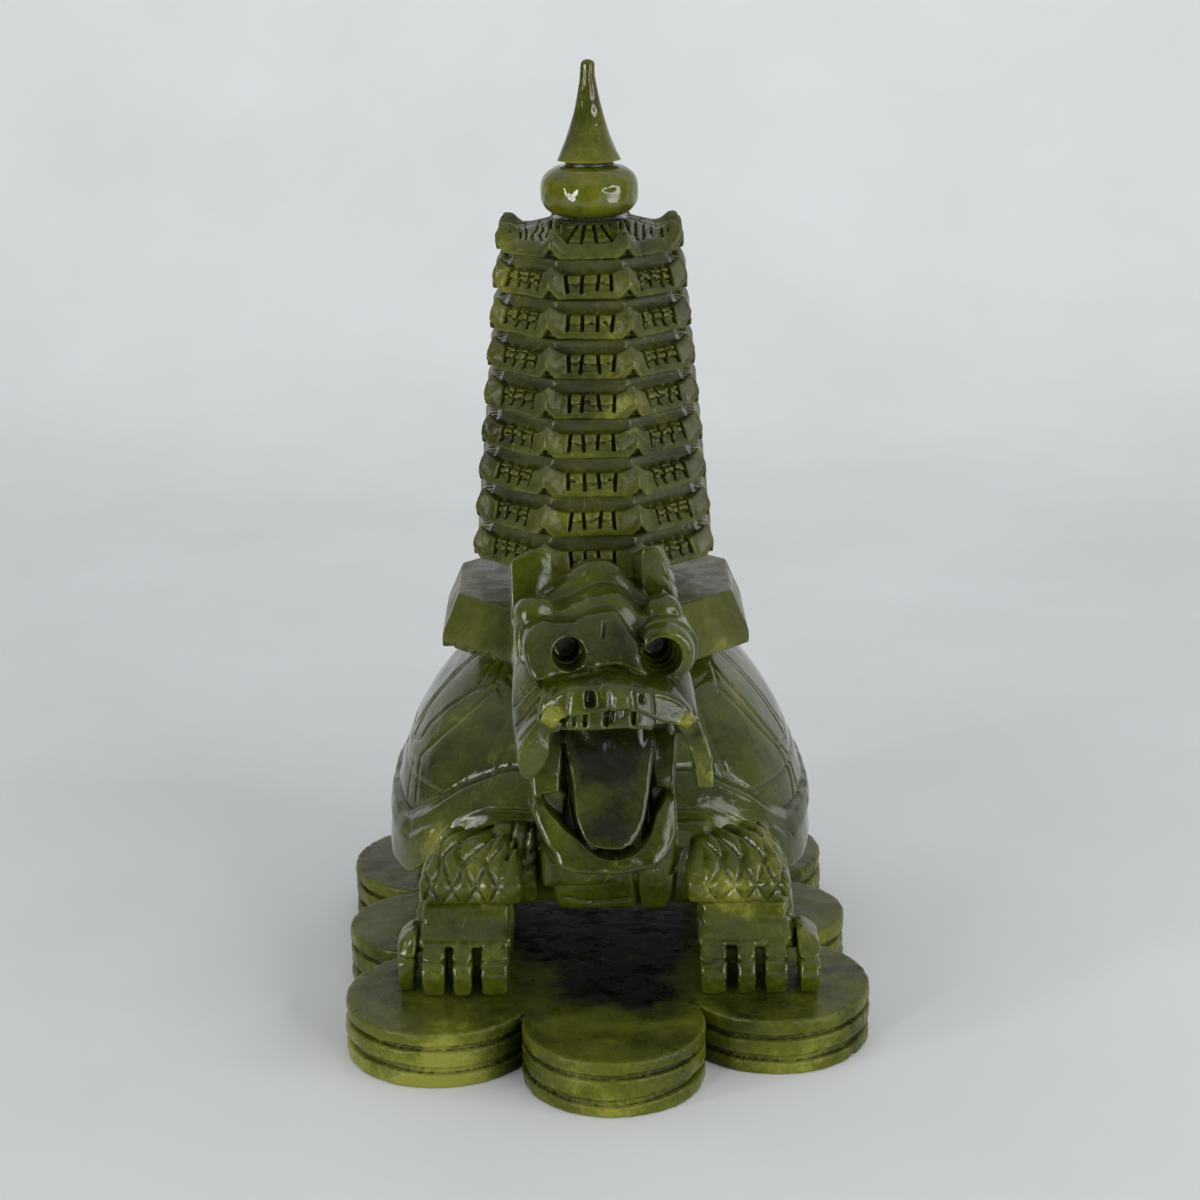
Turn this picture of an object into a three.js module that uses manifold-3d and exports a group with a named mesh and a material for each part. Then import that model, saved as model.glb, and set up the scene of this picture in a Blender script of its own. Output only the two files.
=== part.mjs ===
// A dragon turtle of green stone that carries a nine-storey pagoda on its back and
// stands on a lobed base plate. All sizes are in millimetres, +Z is up and the
// dragon looks towards -Y. The origin is under the middle of the base plate.
import * as THREE from 'three';
import { mergeVertices } from 'three/addons/utils/BufferGeometryUtils.js';
import { ConvexGeometry } from 'three/addons/geometries/ConvexGeometry.js';
import Module from 'manifold-3d';

const wasm = await Module();
wasm.setup();

// Clear space between two stones that rest on each other
const GAP = 0.3;

// Base plate: a ring of eight round lobes with two saw cuts round the edge
const PLATE_THICKNESS = 12.2;
const END_LOBE_REACH = 52.7;
const END_LOBE_RADIUS = 18.9;
const CORNER_LOBE_X = 35.2;
const CORNER_LOBE_Y = 36;
const CORNER_LOBE_RADIUS = 20.3;
const SIDE_LOBE_REACH = 39;
const SIDE_LOBE_RADIUS = 16.6;
const CUT_DEPTH = 1;
const CUT_WIDTH = 1.5;
const LOBE_STEPS = 10;

// The turtle, measured up from the soles of its feet
const SHELL_HALF_WIDTH = 47.2;
const SHELL_HALF_LENGTH = 50;
const SHELL_REAR_LENGTH = 46;
const SHELL_RISE = 52;
const SHELL_WIDEST_Z = 15.5;
const SHELL_TOP_Z = 61;
const SHELL_SQUARENESS = 2.7;
const RIM_SQUARENESS = 3.8;
const RIM_Z = 18;
const RIM_FRONT_LIFT = 14.4;
const RIM_REAR_LIFT = 4;
const ARCH_HALF_WIDTH = 41;
const ARCH_SHOULDER = 25;
const RIM_FACE = 2.8;
const MARGIN_HEIGHT = 6.5;
const MARGIN_STEP = 1.2;
const BELLY_Z = 13.9;
const LEG_INNER_X = 19.8;
const LEG_OUTER_X = 39.5;
const FOOT_OUTER_X = 44.6;
const FRONT_FEET_X = 1.5;
const FRONT_TOE_Y = -64;
const FRONT_LEG_BACK_Y = -42;
const HIND_TOE_Y = 8;
const HIND_LEG_BACK_Y = 29;
const FOOT_HEIGHT = 10.5;
const WRIST_HEIGHT = 16.5;
const WRIST_SET_BACK = 9;
const ARM_BULGE = 3;
const TOE_SLOT = 1.5;
const CHEST_X = 3.3;

// The dragon's head, turned a little on its neck
const HEAD_TURN = 8;
const HEAD_PIVOT_Y = -46;
const HEAD_HALF_WIDTH = 17;
const HORN_INNER_X = 8.8;
const HORN_TOP_Z = 94;
const LUMP_X = 12.2;
const LUMP_RADIUS = 5.2;
const EYE_X = [-7.9, 11.3];
const EYE_Z = 76.2;
const EYE_TUBE_RADIUS = 6.3;
const EYE_HOLE_RADIUS = 3.4;
const EYE_HOLE_DEPTH = 8;
const JAW_HALF_WIDTH = 14.8;

// Plinth: an eight-sided block with a short upright lip, sloping sides and a flat top
const PLINTH_RADIUS = 36.7;
const PLINTH_TOP_RADIUS = 32.6;
const PLINTH_LIP = 3.1;
const PLINTH_SLOPE = 8.8;

// Pagoda: nine storeys, counted from the lowest, on a narrow foot
const STOREYS = 9;
const STOREY_HEIGHT = 8.375;
const PAGODA_FOOT_HEIGHT = 7.6;
const PAGODA_FOOT_RADIUS = 17;
const EAVE_RADIUS = 28.6;
const EAVE_STEP_IN = 0.85;
const EAVE_HEIGHT = 5.1;
const EAVE_SLOPE_IN = 1.6;
const CORNER_NOTCH = 1.3;
const CORNER_FACE = 2.8;
const CORNER_HORN = 2;
const CORNER_SPREAD = 0.2;
const WALL_RECESS = 4.2;
const ROOF_SEAT_RADIUS = 8.5;
const ROOF_SEAT_RISE = 0.9;

// Finial: a flattened ball, a neck and a tall hollow-sided cone, turned as one
const BALL_RADIUS = 10.65;
const BALL_HEIGHT = 10.6;
const NECK_RADIUS = 5.4;
const NECK_HEIGHT = 1.3;
const CONE_RADIUS = 6.9;
const CONE_HEIGHT = 21.2;
const CONE_TIP_RADIUS = 1.6;
const TURNED_SIDES = 20;

// Where the carving stands on its plate. Each stone was glued on by hand, so each
// has its own small turn, in degrees.
const CARVING_X = 2;
const CARVING_Y = 21.5;
const PAGODA_SIDEWAYS = -0.5;
const TURTLE_TURN = -4;
const PLINTH_TURN = -3;
const PAGODA_TURN = -4;

const radians = THREE.MathUtils.degToRad;

// Closed body from a stack of outlines with equal point counts, lowest first.
// The outlines run counter-clockwise as seen from above.
function loft(outlines) {
  const count = outlines[0].length;
  const positions = [];
  for (const outline of outlines) {
    for (const point of outline) positions.push(point.x, point.y, point.z);
  }
  const index = [];
  for (let ring = 0; ring + 1 < outlines.length; ring += 1) {
    for (let i = 0; i < count; i += 1) {
      const a = ring * count + i;
      const b = ring * count + ((i + 1) % count);
      index.push(a, b, b + count, a, b + count, a + count);
    }
  }
  const lowest = outlines[0].map((p) => new THREE.Vector2(p.x, p.y));
  const highest = outlines[outlines.length - 1].map((p) => new THREE.Vector2(p.x, p.y));
  const top = (outlines.length - 1) * count;
  for (const [a, b, c] of THREE.ShapeUtils.triangulateShape(lowest, [])) index.push(a, c, b);
  for (const [a, b, c] of THREE.ShapeUtils.triangulateShape(highest, [])) {
    index.push(top + a, top + b, top + c);
  }
  const geometry = new THREE.BufferGeometry();
  geometry.setAttribute('position', new THREE.Float32BufferAttribute(positions, 3));
  geometry.setIndex(index);
  return geometry;
}

function toSolid(geometry) {
  const bare = geometry.clone();
  bare.deleteAttribute('normal');
  bare.deleteAttribute('uv');
  const merged = mergeVertices(bare);
  const mesh = new wasm.Mesh({
    numProp: 3,
    vertProperties: new Float32Array(merged.attributes.position.array),
    triVerts: new Uint32Array(merged.index.array),
  });
  return new wasm.Manifold(mesh);
}

function toGeometry(solid) {
  const mesh = solid.getMesh();
  const geometry = new THREE.BufferGeometry();
  geometry.setAttribute('position', new THREE.Float32BufferAttribute(mesh.vertProperties, 3));
  geometry.setIndex(new THREE.Uint32BufferAttribute(mesh.triVerts, 1));
  return geometry;
}

// Convex body round level or upright rectangles: each is [x0, x1, y0, y1, z0, z1],
// flat in one direction or a box.
function hull(boxes) {
  const points = [];
  for (const [x0, x1, y0, y1, z0, z1] of boxes) {
    for (const x of [x0, x1]) {
      for (const y of [y0, y1]) {
        for (const z of [z0, z1]) points.push(new THREE.Vector3(x, y, z));
      }
    }
  }
  return toSolid(new ConvexGeometry(points));
}

// The same boxes on the other side of the middle plane
function mirrored(boxes) {
  return boxes.map(([x0, x1, ...rest]) => [-x1, -x0, ...rest]);
}

function addPair(solid, boxes) {
  return solid.add(hull(boxes)).add(hull(mirrored(boxes)));
}

function cutPair(solid, boxes) {
  return solid.subtract(hull(boxes)).subtract(hull(mirrored(boxes)));
}

// Rod from one point to another
function rod(from, to, radius, sides) {
  const length = from.distanceTo(to);
  const geometry = new THREE.CylinderGeometry(radius, radius, length, sides);
  geometry.translate(0, length / 2, 0);
  const direction = to.clone().sub(from).normalize();
  const turn = new THREE.Quaternion();
  turn.setFromUnitVectors(new THREE.Vector3(0, 1, 0), direction);
  geometry.applyQuaternion(turn);
  geometry.translate(from.x, from.y, from.z);
  return toSolid(geometry);
}

// Where two neighbouring lobes meet, on the side away from the plate's middle
function lobeNotch(a, b) {
  const dx = b.x - a.x;
  const dy = b.y - a.y;
  const apart = Math.hypot(dx, dy);
  const along = (apart * apart + a.radius * a.radius - b.radius * b.radius) / (2 * apart);
  const aside = Math.sqrt(Math.max(a.radius * a.radius - along * along, 0));
  const x = a.x + (along * dx + aside * dy) / apart;
  const y = a.y + (along * dy - aside * dx) / apart;
  return { x, y };
}

function makeLobes() {
  const end = { x: 0, y: -END_LOBE_REACH, radius: END_LOBE_RADIUS };
  const corner = { x: CORNER_LOBE_X, y: -CORNER_LOBE_Y, radius: CORNER_LOBE_RADIUS };
  const side = { x: SIDE_LOBE_REACH, y: 0, radius: SIDE_LOBE_RADIUS };
  const mirror = (lobe, sx, sy) => ({ x: lobe.x * sx, y: lobe.y * sy, radius: lobe.radius });
  return [
    end,
    corner,
    side,
    mirror(corner, 1, -1),
    mirror(end, 1, -1),
    mirror(corner, -1, -1),
    mirror(side, -1, 1),
    mirror(corner, -1, 1),
  ];
}

// Outline of the plate at a height, drawn in by an inset
function plateOutline(z, inset) {
  const lobes = makeLobes();
  const points = [];
  lobes.forEach((lobe, i) => {
    const before = lobeNotch(lobes[(i + lobes.length - 1) % lobes.length], lobe);
    const after = lobeNotch(lobe, lobes[(i + 1) % lobes.length]);
    const start = Math.atan2(before.y - lobe.y, before.x - lobe.x);
    let sweep = Math.atan2(after.y - lobe.y, after.x - lobe.x) - start;
    while (sweep <= 0) sweep += 2 * Math.PI;
    // A lobe's last point is left to the next lobe, which starts at the same notch
    for (let step = 0; step < LOBE_STEPS; step += 1) {
      const angle = start + (sweep * step) / LOBE_STEPS;
      const reach = lobe.radius - (step === 0 ? 0 : inset);
      points.push({
        x: lobe.x + reach * Math.cos(angle),
        y: lobe.y + reach * Math.sin(angle),
        z,
      });
    }
  });
  return points;
}

function makeBasePlate() {
  const layer = (PLATE_THICKNESS - 2 * CUT_WIDTH) / 3;
  const outlines = [plateOutline(0, 0)];
  for (const foot of [layer, 2 * layer + CUT_WIDTH]) {
    outlines.push(plateOutline(foot, 0));
    outlines.push(plateOutline(foot + CUT_WIDTH / 2, CUT_DEPTH));
    outlines.push(plateOutline(foot + CUT_WIDTH, 0));
  }
  outlines.push(plateOutline(PLATE_THICKNESS, 0));
  return loft(outlines);
}

// Regular eight-sided outline with a flat side towards -Y
function octagon(radius, z) {
  const points = [];
  for (let i = 0; i < 8; i += 1) {
    const angle = radians(22.5 + 45 * i);
    points.push({ x: radius * Math.cos(angle), y: radius * Math.sin(angle), z });
  }
  return points;
}

function makePlinth() {
  return loft([
    octagon(PLINTH_RADIUS, 0),
    octagon(PLINTH_RADIUS, PLINTH_LIP),
    octagon(PLINTH_TOP_RADIUS, PLINTH_LIP + PLINTH_SLOPE),
  ]);
}

// One outline of an eave: its sides lie at one inset and height, its corners at
// another, and two points near each corner hold the sides straight between them.
function eaveOutline(radius, sideInset, sideZ, cornerInset, cornerZ) {
  const sideRadius = radius - sideInset / Math.cos(radians(22.5));
  const corners = octagon(sideRadius, sideZ);
  const points = [];
  corners.forEach((corner, i) => {
    const next = corners[(i + 1) % corners.length];
    const scale = (radius - cornerInset) / sideRadius;
    points.push({ x: corner.x * scale, y: corner.y * scale, z: cornerZ });
    for (const t of [CORNER_SPREAD, 1 - CORNER_SPREAD]) {
      points.push({
        x: corner.x + (next.x - corner.x) * t,
        y: corner.y + (next.y - corner.y) * t,
        z: sideZ,
      });
    }
  });
  return points;
}

function makePagoda() {
  const outlines = [];
  const eaveRadius = (storey) => EAVE_RADIUS - EAVE_STEP_IN * storey;
  const wall = (radius, z) => eaveOutline(radius, WALL_RECESS, z, WALL_RECESS, z);
  for (let storey = 0; storey < STOREYS; storey += 1) {
    const radius = eaveRadius(storey);
    const foot = PAGODA_FOOT_HEIGHT + STOREY_HEIGHT * storey;
    const top = foot + EAVE_HEIGHT;
    if (storey === 0) {
      for (const z of [0, foot]) outlines.push(eaveOutline(PAGODA_FOOT_RADIUS, 0, z, 0, z));
    } else {
      outlines.push(wall(radius, foot));
    }
    outlines.push(eaveOutline(radius, 0, foot, 0, foot + CORNER_NOTCH));
    outlines.push(eaveOutline(radius, 0, foot + 0.8, 0, foot + CORNER_NOTCH + CORNER_FACE));
    outlines.push(eaveOutline(radius, EAVE_SLOPE_IN, top, EAVE_SLOPE_IN, top + CORNER_HORN));
    if (storey + 1 < STOREYS) outlines.push(wall(eaveRadius(storey + 1), top + 0.4));
  }
  const roofZ = PAGODA_FOOT_HEIGHT + STOREY_HEIGHT * (STOREYS - 1) + EAVE_HEIGHT;
  const seat = roofZ + ROOF_SEAT_RISE;
  outlines.push(eaveOutline(ROOF_SEAT_RADIUS, 0, seat, 0, seat));
  return loft(outlines);
}

function pagodaHeight() {
  return PAGODA_FOOT_HEIGHT + STOREY_HEIGHT * (STOREYS - 1) + EAVE_HEIGHT + ROOF_SEAT_RISE;
}

function makeFinial() {
  const profile = [new THREE.Vector2(0, 0)];
  const ballSteps = 8;
  const equator = BALL_HEIGHT * 0.47;
  for (let step = 0; step <= ballSteps; step += 1) {
    const z = (BALL_HEIGHT * step) / ballSteps;
    const half = z < equator ? equator : BALL_HEIGHT - equator;
    const flat = z < equator ? 0.87 : 0.84;
    const away = (Math.abs(z - equator) / half) * flat;
    profile.push(new THREE.Vector2(BALL_RADIUS * Math.sqrt(1 - away ** 2.4), z));
  }
  const neckTop = BALL_HEIGHT + NECK_HEIGHT;
  profile.push(new THREE.Vector2(NECK_RADIUS, BALL_HEIGHT));
  profile.push(new THREE.Vector2(NECK_RADIUS, neckTop));
  profile.push(new THREE.Vector2(CONE_RADIUS - 0.3, neckTop));
  const coneSteps = 7;
  const roundTip = CONE_TIP_RADIUS * 0.7;
  for (let step = 0; step <= coneSteps; step += 1) {
    const t = step / coneSteps;
    const radius = CONE_TIP_RADIUS + (CONE_RADIUS - CONE_TIP_RADIUS) * (1 - t) ** 1.75;
    const z = neckTop + 0.5 + (CONE_HEIGHT - roundTip - 0.5) * t;
    profile.push(new THREE.Vector2(radius, z));
  }
  profile.push(new THREE.Vector2(CONE_TIP_RADIUS * 0.6, neckTop + CONE_HEIGHT - roundTip * 0.3));
  profile.push(new THREE.Vector2(0, neckTop + CONE_HEIGHT));
  const geometry = new THREE.LatheGeometry(profile, TURNED_SIDES);
  geometry.rotateX(Math.PI / 2);
  const turned = toSolid(geometry);
  return toGeometry(turned);
}

// Lift of the rim at an angle round the shell: it arches over the neck in front and,
// less, over the tail.
function rimLift(angle) {
  const { x, y } = shellPoint(angle, RIM_SQUARENESS, 0, 0);
  const inward = THREE.MathUtils.clamp((ARCH_HALF_WIDTH - Math.abs(x)) / ARCH_SHOULDER, 0, 1);
  return (y < 0 ? RIM_FRONT_LIFT : RIM_REAR_LIFT) * Math.sin((inward * Math.PI) / 2);
}

function shellPoint(angle, squareness, z, grow) {
  const c = Math.cos(angle);
  const s = Math.sin(angle);
  const norm = (Math.abs(c) ** squareness + Math.abs(s) ** squareness) ** (-1 / squareness);
  const up = Math.max(z - SHELL_WIDEST_Z, 0) / SHELL_RISE;
  const draw = Math.sqrt(Math.max(1 - up * up, 0));
  const length = s < 0 ? SHELL_HALF_LENGTH : SHELL_REAR_LENGTH;
  return {
    x: (SHELL_HALF_WIDTH * draw + grow) * c * norm,
    y: (length * draw + grow) * s * norm,
    z,
  };
}

function makeShell() {
  const steps = 48;
  const rings = [];
  const ring = (heightAt, squareness, grow) => {
    const points = [];
    for (let i = 0; i < steps; i += 1) {
      const angle = (2 * Math.PI * i) / steps;
      points.push(shellPoint(angle, squareness, heightAt(angle), grow));
    }
    rings.push(points);
  };
  const rim = (angle) => RIM_Z + rimLift(angle);
  ring((angle) => rim(angle), RIM_SQUARENESS, -3);
  ring((angle) => rim(angle) + RIM_FACE * 0.35, RIM_SQUARENESS, MARGIN_STEP);
  ring((angle) => rim(angle) + RIM_FACE + MARGIN_HEIGHT, SHELL_SQUARENESS + 0.3, MARGIN_STEP);
  const foot = (angle) => rim(angle) + RIM_FACE + MARGIN_HEIGHT + 1;
  ring(foot, SHELL_SQUARENESS, 0);
  const domeSteps = 5;
  for (let step = 1; step <= domeSteps; step += 1) {
    const t = Math.sin((step / domeSteps) * (Math.PI / 2));
    ring((angle) => foot(angle) + (SHELL_TOP_Z - foot(angle)) * t, SHELL_SQUARENESS, 0);
  }
  return toSolid(loft(rings));
}

// A pair of legs with square-toed feet, its toes towards -Y
function makeLegs(toeY, backY, topZ) {
  const wristY = toeY + WRIST_SET_BACK;
  const armInnerX = LEG_INNER_X - ARM_BULGE;
  const leg = hull([
    [LEG_INNER_X, LEG_OUTER_X, wristY, backY, 0, 1],
    [LEG_INNER_X, LEG_OUTER_X, wristY, backY, WRIST_HEIGHT, WRIST_HEIGHT + 1],
  ]);
  const foot = hull([
    [LEG_INNER_X, FOOT_OUTER_X, toeY, wristY + 3, 0, 1],
    [LEG_INNER_X, FOOT_OUTER_X - 0.6, toeY + 0.6, wristY + 3, 5.5, 6],
    [LEG_INNER_X, LEG_OUTER_X, toeY + 6.5, wristY + 3, 8, FOOT_HEIGHT],
  ]);
  const arm = hull([
    [armInnerX, LEG_OUTER_X, wristY - 1, backY, WRIST_HEIGHT, WRIST_HEIGHT + 1],
    [armInnerX, LEG_OUTER_X, wristY - 1.6, backY, WRIST_HEIGHT + 3.5, WRIST_HEIGHT + 4],
    [armInnerX, LEG_OUTER_X - 1, wristY + 4.5, backY, topZ - 0.5, topZ],
  ]);
  let side = leg.add(foot).add(arm);
  // Three slots in each foot leave four toes
  const toeWidth = (FOOT_OUTER_X - LEG_INNER_X - 3 * TOE_SLOT) / 4;
  for (let slot = 0; slot < 3; slot += 1) {
    const x = LEG_INNER_X + toeWidth * (slot + 1) + TOE_SLOT * slot;
    const cut = hull([
      [x, x + TOE_SLOT, toeY - 1, toeY + 4.5, -1, 0],
      [x, x + TOE_SLOT, toeY - 1, toeY + 6.5, FOOT_HEIGHT, FOOT_HEIGHT + 1],
    ]);
    side = side.subtract(cut);
  }
  return side.add(side.mirror([1, 0, 0]));
}

function makeBody() {
  const frontRim = RIM_Z + RIM_FRONT_LIFT;
  const rearRim = RIM_Z + RIM_REAR_LIFT;
  const belly = hull([
    [-30, 30, -47, 33, BELLY_Z, BELLY_Z + 1],
    [-36, 36, -40, 33, BELLY_Z + 4, BELLY_Z + 14],
  ]);
  const frontLegs = makeLegs(FRONT_TOE_Y, FRONT_LEG_BACK_Y, frontRim - 3);
  const hindLegs = makeLegs(HIND_TOE_Y, HIND_LEG_BACK_Y, rearRim + 1);
  const chest = hull([
    [CHEST_X - 11.5, CHEST_X + 11.5, -50.5, -40, BELLY_Z, BELLY_Z + 1],
    [CHEST_X - 13, CHEST_X + 13, -51.5, -40, BELLY_Z + 5, frontRim],
  ]);
  const tail = hull([
    [-6, 6, 34, 40, BELLY_Z + 4, rearRim + 4],
    [-3, 3, 44, 46.5, BELLY_Z - 1, BELLY_Z + 4],
  ]);
  return makeShell()
    .add(belly)
    .add(frontLegs.translate([FRONT_FEET_X, 0, 0]))
    .add(hindLegs)
    .add(chest)
    .add(tail);
}

// Upper half of the head: skull, crown, square horn stubs and the round lumps behind
// the brows. Heights are measured from the soles of the feet.
function makeSkull() {
  const wide = HEAD_HALF_WIDTH;
  const skull = hull([
    [-wide + 1.5, wide - 1.5, -39, -37, 52, 84],
    [-wide, wide, -58, -44, 60, 82],
    [-wide + 2, wide - 2, -62, -44, 58, 78],
  ]);
  const crown = hull([
    [-9.5, 9.5, -59, -40, 82, 83],
    [-6.5, 6.5, -51, -42, 87, 88],
    [-1.5, 1.5, -51, -50.5, 90.8, 91.5],
    [-1.5, 1.5, -42, -41, 87, 88],
  ]);
  const fold = hull([
    [-8, 8, -60, -57, 79, 80.6],
    [0.6, 3.8, -59.5, -58.5, 85.4, 86],
    [-8, -6, -59.5, -58.5, 83, 83.6],
    [-3, 3, -52, -50, 82, 84],
  ]);
  const horn = [
    [HORN_INNER_X, HORN_INNER_X + 4.6, -50.5, -50, 86, HORN_TOP_Z],
    [HORN_INNER_X, wide + 0.2, -50, -49.5, 85, HORN_TOP_Z - 2],
    [HORN_INNER_X, wide - 0.8, -38, -37.5, 80, HORN_TOP_Z - 5.5],
    [HORN_INNER_X, wide + 0.4, -55, -42, 80, 81],
  ];
  let head = addPair(skull.add(crown).add(fold), horn);
  for (const side of [1, -1]) {
    const lump = new THREE.SphereGeometry(LUMP_RADIUS, 12, 8);
    lump.translate(side * LUMP_X, -57.3, 80.6);
    head = head.add(toSolid(lump));
  }
  return head;
}

// The flat face between and round the eyes, with the right eye in a short tube
function makeMask() {
  const plate = hull([
    [-16.8, -16, -62.5, -61.5, 74.5, 76],
    [-14, -10.5, -63.5, -62.5, 81.4, 82.6],
    [-1, 3.2, -63.6, -62.6, 83.2, 84],
    [5.5, 8.4, -65.5, -64.5, 77.5, 78.6],
    [-13.8, -5, -69, -68, 72.6, 74],
    [-3.4, 3, -71.5, -70.5, 74.4, 75.3],
    [5, 8.4, -71, -70, 72.4, 73.4],
    [-12, 9, -57, -56, 70, 80],
  ]);
  const tubeBack = new THREE.Vector3(EYE_X[1], -54, 75.6);
  const tubeFront = new THREE.Vector3(EYE_X[1] + 1.9, -66, 75);
  return plate.add(rod(tubeBack, tubeFront, EYE_TUBE_RADIUS, 16));
}

function makeSnout() {
  const snout = hull([
    [-10, 10, -70, -58, 72.4, 73.4],
    [-9.5, 9.5, -74, -58, 70.6, 71.6],
    [-12.5, 12.5, -75.5, -58, 66.8, 69],
  ]);
  const nostril = [
    [2.6, 6.6, -78, -73.6, 68.6, 69],
    [2.9, 6.4, -78, -72.6, 71, 71.4],
  ];
  // Whiskers, hanging from the upper lip past the corners of the mouth
  const root = [
    [9.5, 15.5, -74.5, -68, 64.5, 68.8],
    [12.5, 17.5, -73.5, -67, 60, 62],
  ];
  const whisker = [
    [12.5, 17.5, -73.5, -66.5, 60, 63],
    [15.5, 18.6, -70.5, -67, 50.5, 52],
  ];
  const web = [
    [11, 15, -70, -58, 63.5, 67],
    [12, 16.5, -68, -58, 56, 60],
  ];
  return addPair(addPair(addPair(cutPair(snout, nostril), root), whisker), web);
}

function makeHead() {
  const jaw = hull([
    [-JAW_HALF_WIDTH, JAW_HALF_WIDTH, -65, -50, 43.5, 45.5],
    [-13, 13, -52, -48, 26, 52],
    [-11.5, 11.5, -71.5, -68, 35.4, 38],
    [-6.5, 6.5, -76, -73, 32.4, 35.6],
  ]);
  const cheek = hull([
    [-HEAD_HALF_WIDTH + 1, HEAD_HALF_WIDTH - 1, -60, -44, 56, 66],
    [-JAW_HALF_WIDTH, JAW_HALF_WIDTH, -61, -44, 42, 46],
  ]);
  const mouth = hull([
    [-10.5, 10.5, -84, -83, 30, 63.6],
    [-10.5, 10.5, -74, -73, 36.6, 63.6],
    [-10.5, 10.5, -56, -55, 57, 62.6],
  ]);
  const teeth = hull([[-6.2, 6.2, -74.2, -71.5, 63, 67.2]]);
  const tongue = hull([
    [-9.6, 9.6, -57, -53, 54.5, 58],
    [-9.4, 9.4, -64, -61, 46.5, 51.5],
    [-4.6, 4.6, -75.2, -73, 34.8, 37.4],
    [-7.4, 7.4, -71, -69, 36.6, 41.6],
  ]);
  const neck = hull([
    [-13, 13, -52, -38, 20, 22],
    [-12, 12, -52, -28, 54, 56],
  ]);
  let head = makeSkull().add(makeMask()).add(makeSnout()).add(jaw).add(cheek);
  head = head.subtract(mouth).add(teeth).add(tongue).add(neck);
  for (const x of EYE_X) {
    const front = new THREE.Vector3(x, -71, EYE_Z + 1.2);
    const back = new THREE.Vector3(x, -68 + EYE_HOLE_DEPTH, EYE_Z);
    head = head.subtract(rod(back, front, EYE_HOLE_RADIUS, 12));
  }
  return head.translate([0, -HEAD_PIVOT_Y, 0]);
}

function makeTurtle() {
  const head = makeHead().rotate([0, 0, HEAD_TURN]).translate([0, HEAD_PIVOT_Y, 0]);
  return toGeometry(makeBody().add(head));
}

function addMesh(parent, name, geometry, colour, roughness, x, z, turn) {
  const material = new THREE.MeshStandardMaterial({ color: colour, roughness, metalness: 0 });
  const mesh = new THREE.Mesh(geometry, material);
  mesh.name = name;
  mesh.position.set(x, 0, z);
  mesh.rotation.z = radians(turn);
  parent.add(mesh);
}

const group = new THREE.Group();
const carving = new THREE.Group();
carving.position.set(CARVING_X, CARVING_Y, 0);
group.add(carving);

const turtleFloor = PLATE_THICKNESS + GAP;
const plinthFloor = turtleFloor + SHELL_TOP_Z + GAP;
const pagodaFloor = plinthFloor + PLINTH_LIP + PLINTH_SLOPE + GAP;
const finialFloor = pagodaFloor + pagodaHeight() + GAP;
const side = PAGODA_SIDEWAYS;

addMesh(group, 'base_plate', makeBasePlate(), 0x4d5a26, 0.2, 0, 0, 0);
addMesh(carving, 'dragon_turtle', makeTurtle(), 0x47532a, 0.2, 0, turtleFloor, TURTLE_TURN);
addMesh(carving, 'pagoda_plinth', makePlinth(), 0x5b6332, 0.3, side, plinthFloor, PLINTH_TURN);
addMesh(carving, 'pagoda', makePagoda(), 0x545c2c, 0.4, side, pagodaFloor, PAGODA_TURN);
addMesh(carving, 'finial', makeFinial(), 0x59622a, 0.15, side, finialFloor, 0);

export default group;
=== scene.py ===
"""Looks of the dragon turtle figure, which is five carved stones.

The finial is turned, and the other stones are meshed from distance fields. Sizes of the stones
are in millimetres until add_mesh; those of the camera, the floor and the lights are in metres."""

import math

import bmesh
import bpy
import numpy as np
from mathutils import Matrix, Vector


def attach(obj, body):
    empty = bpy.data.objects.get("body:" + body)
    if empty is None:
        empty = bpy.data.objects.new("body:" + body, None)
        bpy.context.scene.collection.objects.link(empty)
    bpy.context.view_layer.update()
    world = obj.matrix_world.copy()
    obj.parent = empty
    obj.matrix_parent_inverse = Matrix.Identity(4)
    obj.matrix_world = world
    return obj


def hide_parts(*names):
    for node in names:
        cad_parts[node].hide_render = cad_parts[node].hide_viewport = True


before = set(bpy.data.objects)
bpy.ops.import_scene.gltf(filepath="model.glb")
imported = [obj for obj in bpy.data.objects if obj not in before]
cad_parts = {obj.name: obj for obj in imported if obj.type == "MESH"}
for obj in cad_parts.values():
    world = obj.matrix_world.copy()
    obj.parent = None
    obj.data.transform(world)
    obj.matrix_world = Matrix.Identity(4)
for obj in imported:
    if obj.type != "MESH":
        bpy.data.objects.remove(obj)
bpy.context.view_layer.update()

MM = 0.001

# The same sizes as in the CAD source
GAP = 0.3
PLATE_THICKNESS = 12.2
SHELL_TOP_Z = 61.0
PLINTH_LIP = 3.1
PLINTH_SLOPE = 8.8
PLINTH_RADIUS = 36.7
PLINTH_TOP_RADIUS = 32.6
STOREYS = 9
STOREY_HEIGHT = 8.375
PAGODA_FOOT_HEIGHT = 7.6
PAGODA_FOOT_RADIUS = 17.0
EAVE_RADIUS = 28.6
EAVE_STEP_IN = 0.85
EAVE_TOP = 4.9
ROOF_TOP = PAGODA_FOOT_HEIGHT + STOREY_HEIGHT * (STOREYS - 1) + 5.1 + 0.9
CARVING_X, CARVING_Y = 2.0, 21.5
PAGODA_X = CARVING_X - 0.5
TURTLE_FLOOR = PLATE_THICKNESS + GAP
TURTLE_PLACE = (CARVING_X, CARVING_Y, TURTLE_FLOOR)
TURTLE_TURN, PLINTH_TURN, PAGODA_TURN = -4, -3, -4
HEAD_TURN, HEAD_PIVOT = 8.0, (0, -46.0, 0)
PLINTH_FLOOR = TURTLE_FLOOR + SHELL_TOP_Z + GAP
PAGODA_FLOOR = PLINTH_FLOOR + PLINTH_LIP + PLINTH_SLOPE + GAP
FINIAL_FLOOR = PAGODA_FLOOR + ROOF_TOP + GAP


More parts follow.
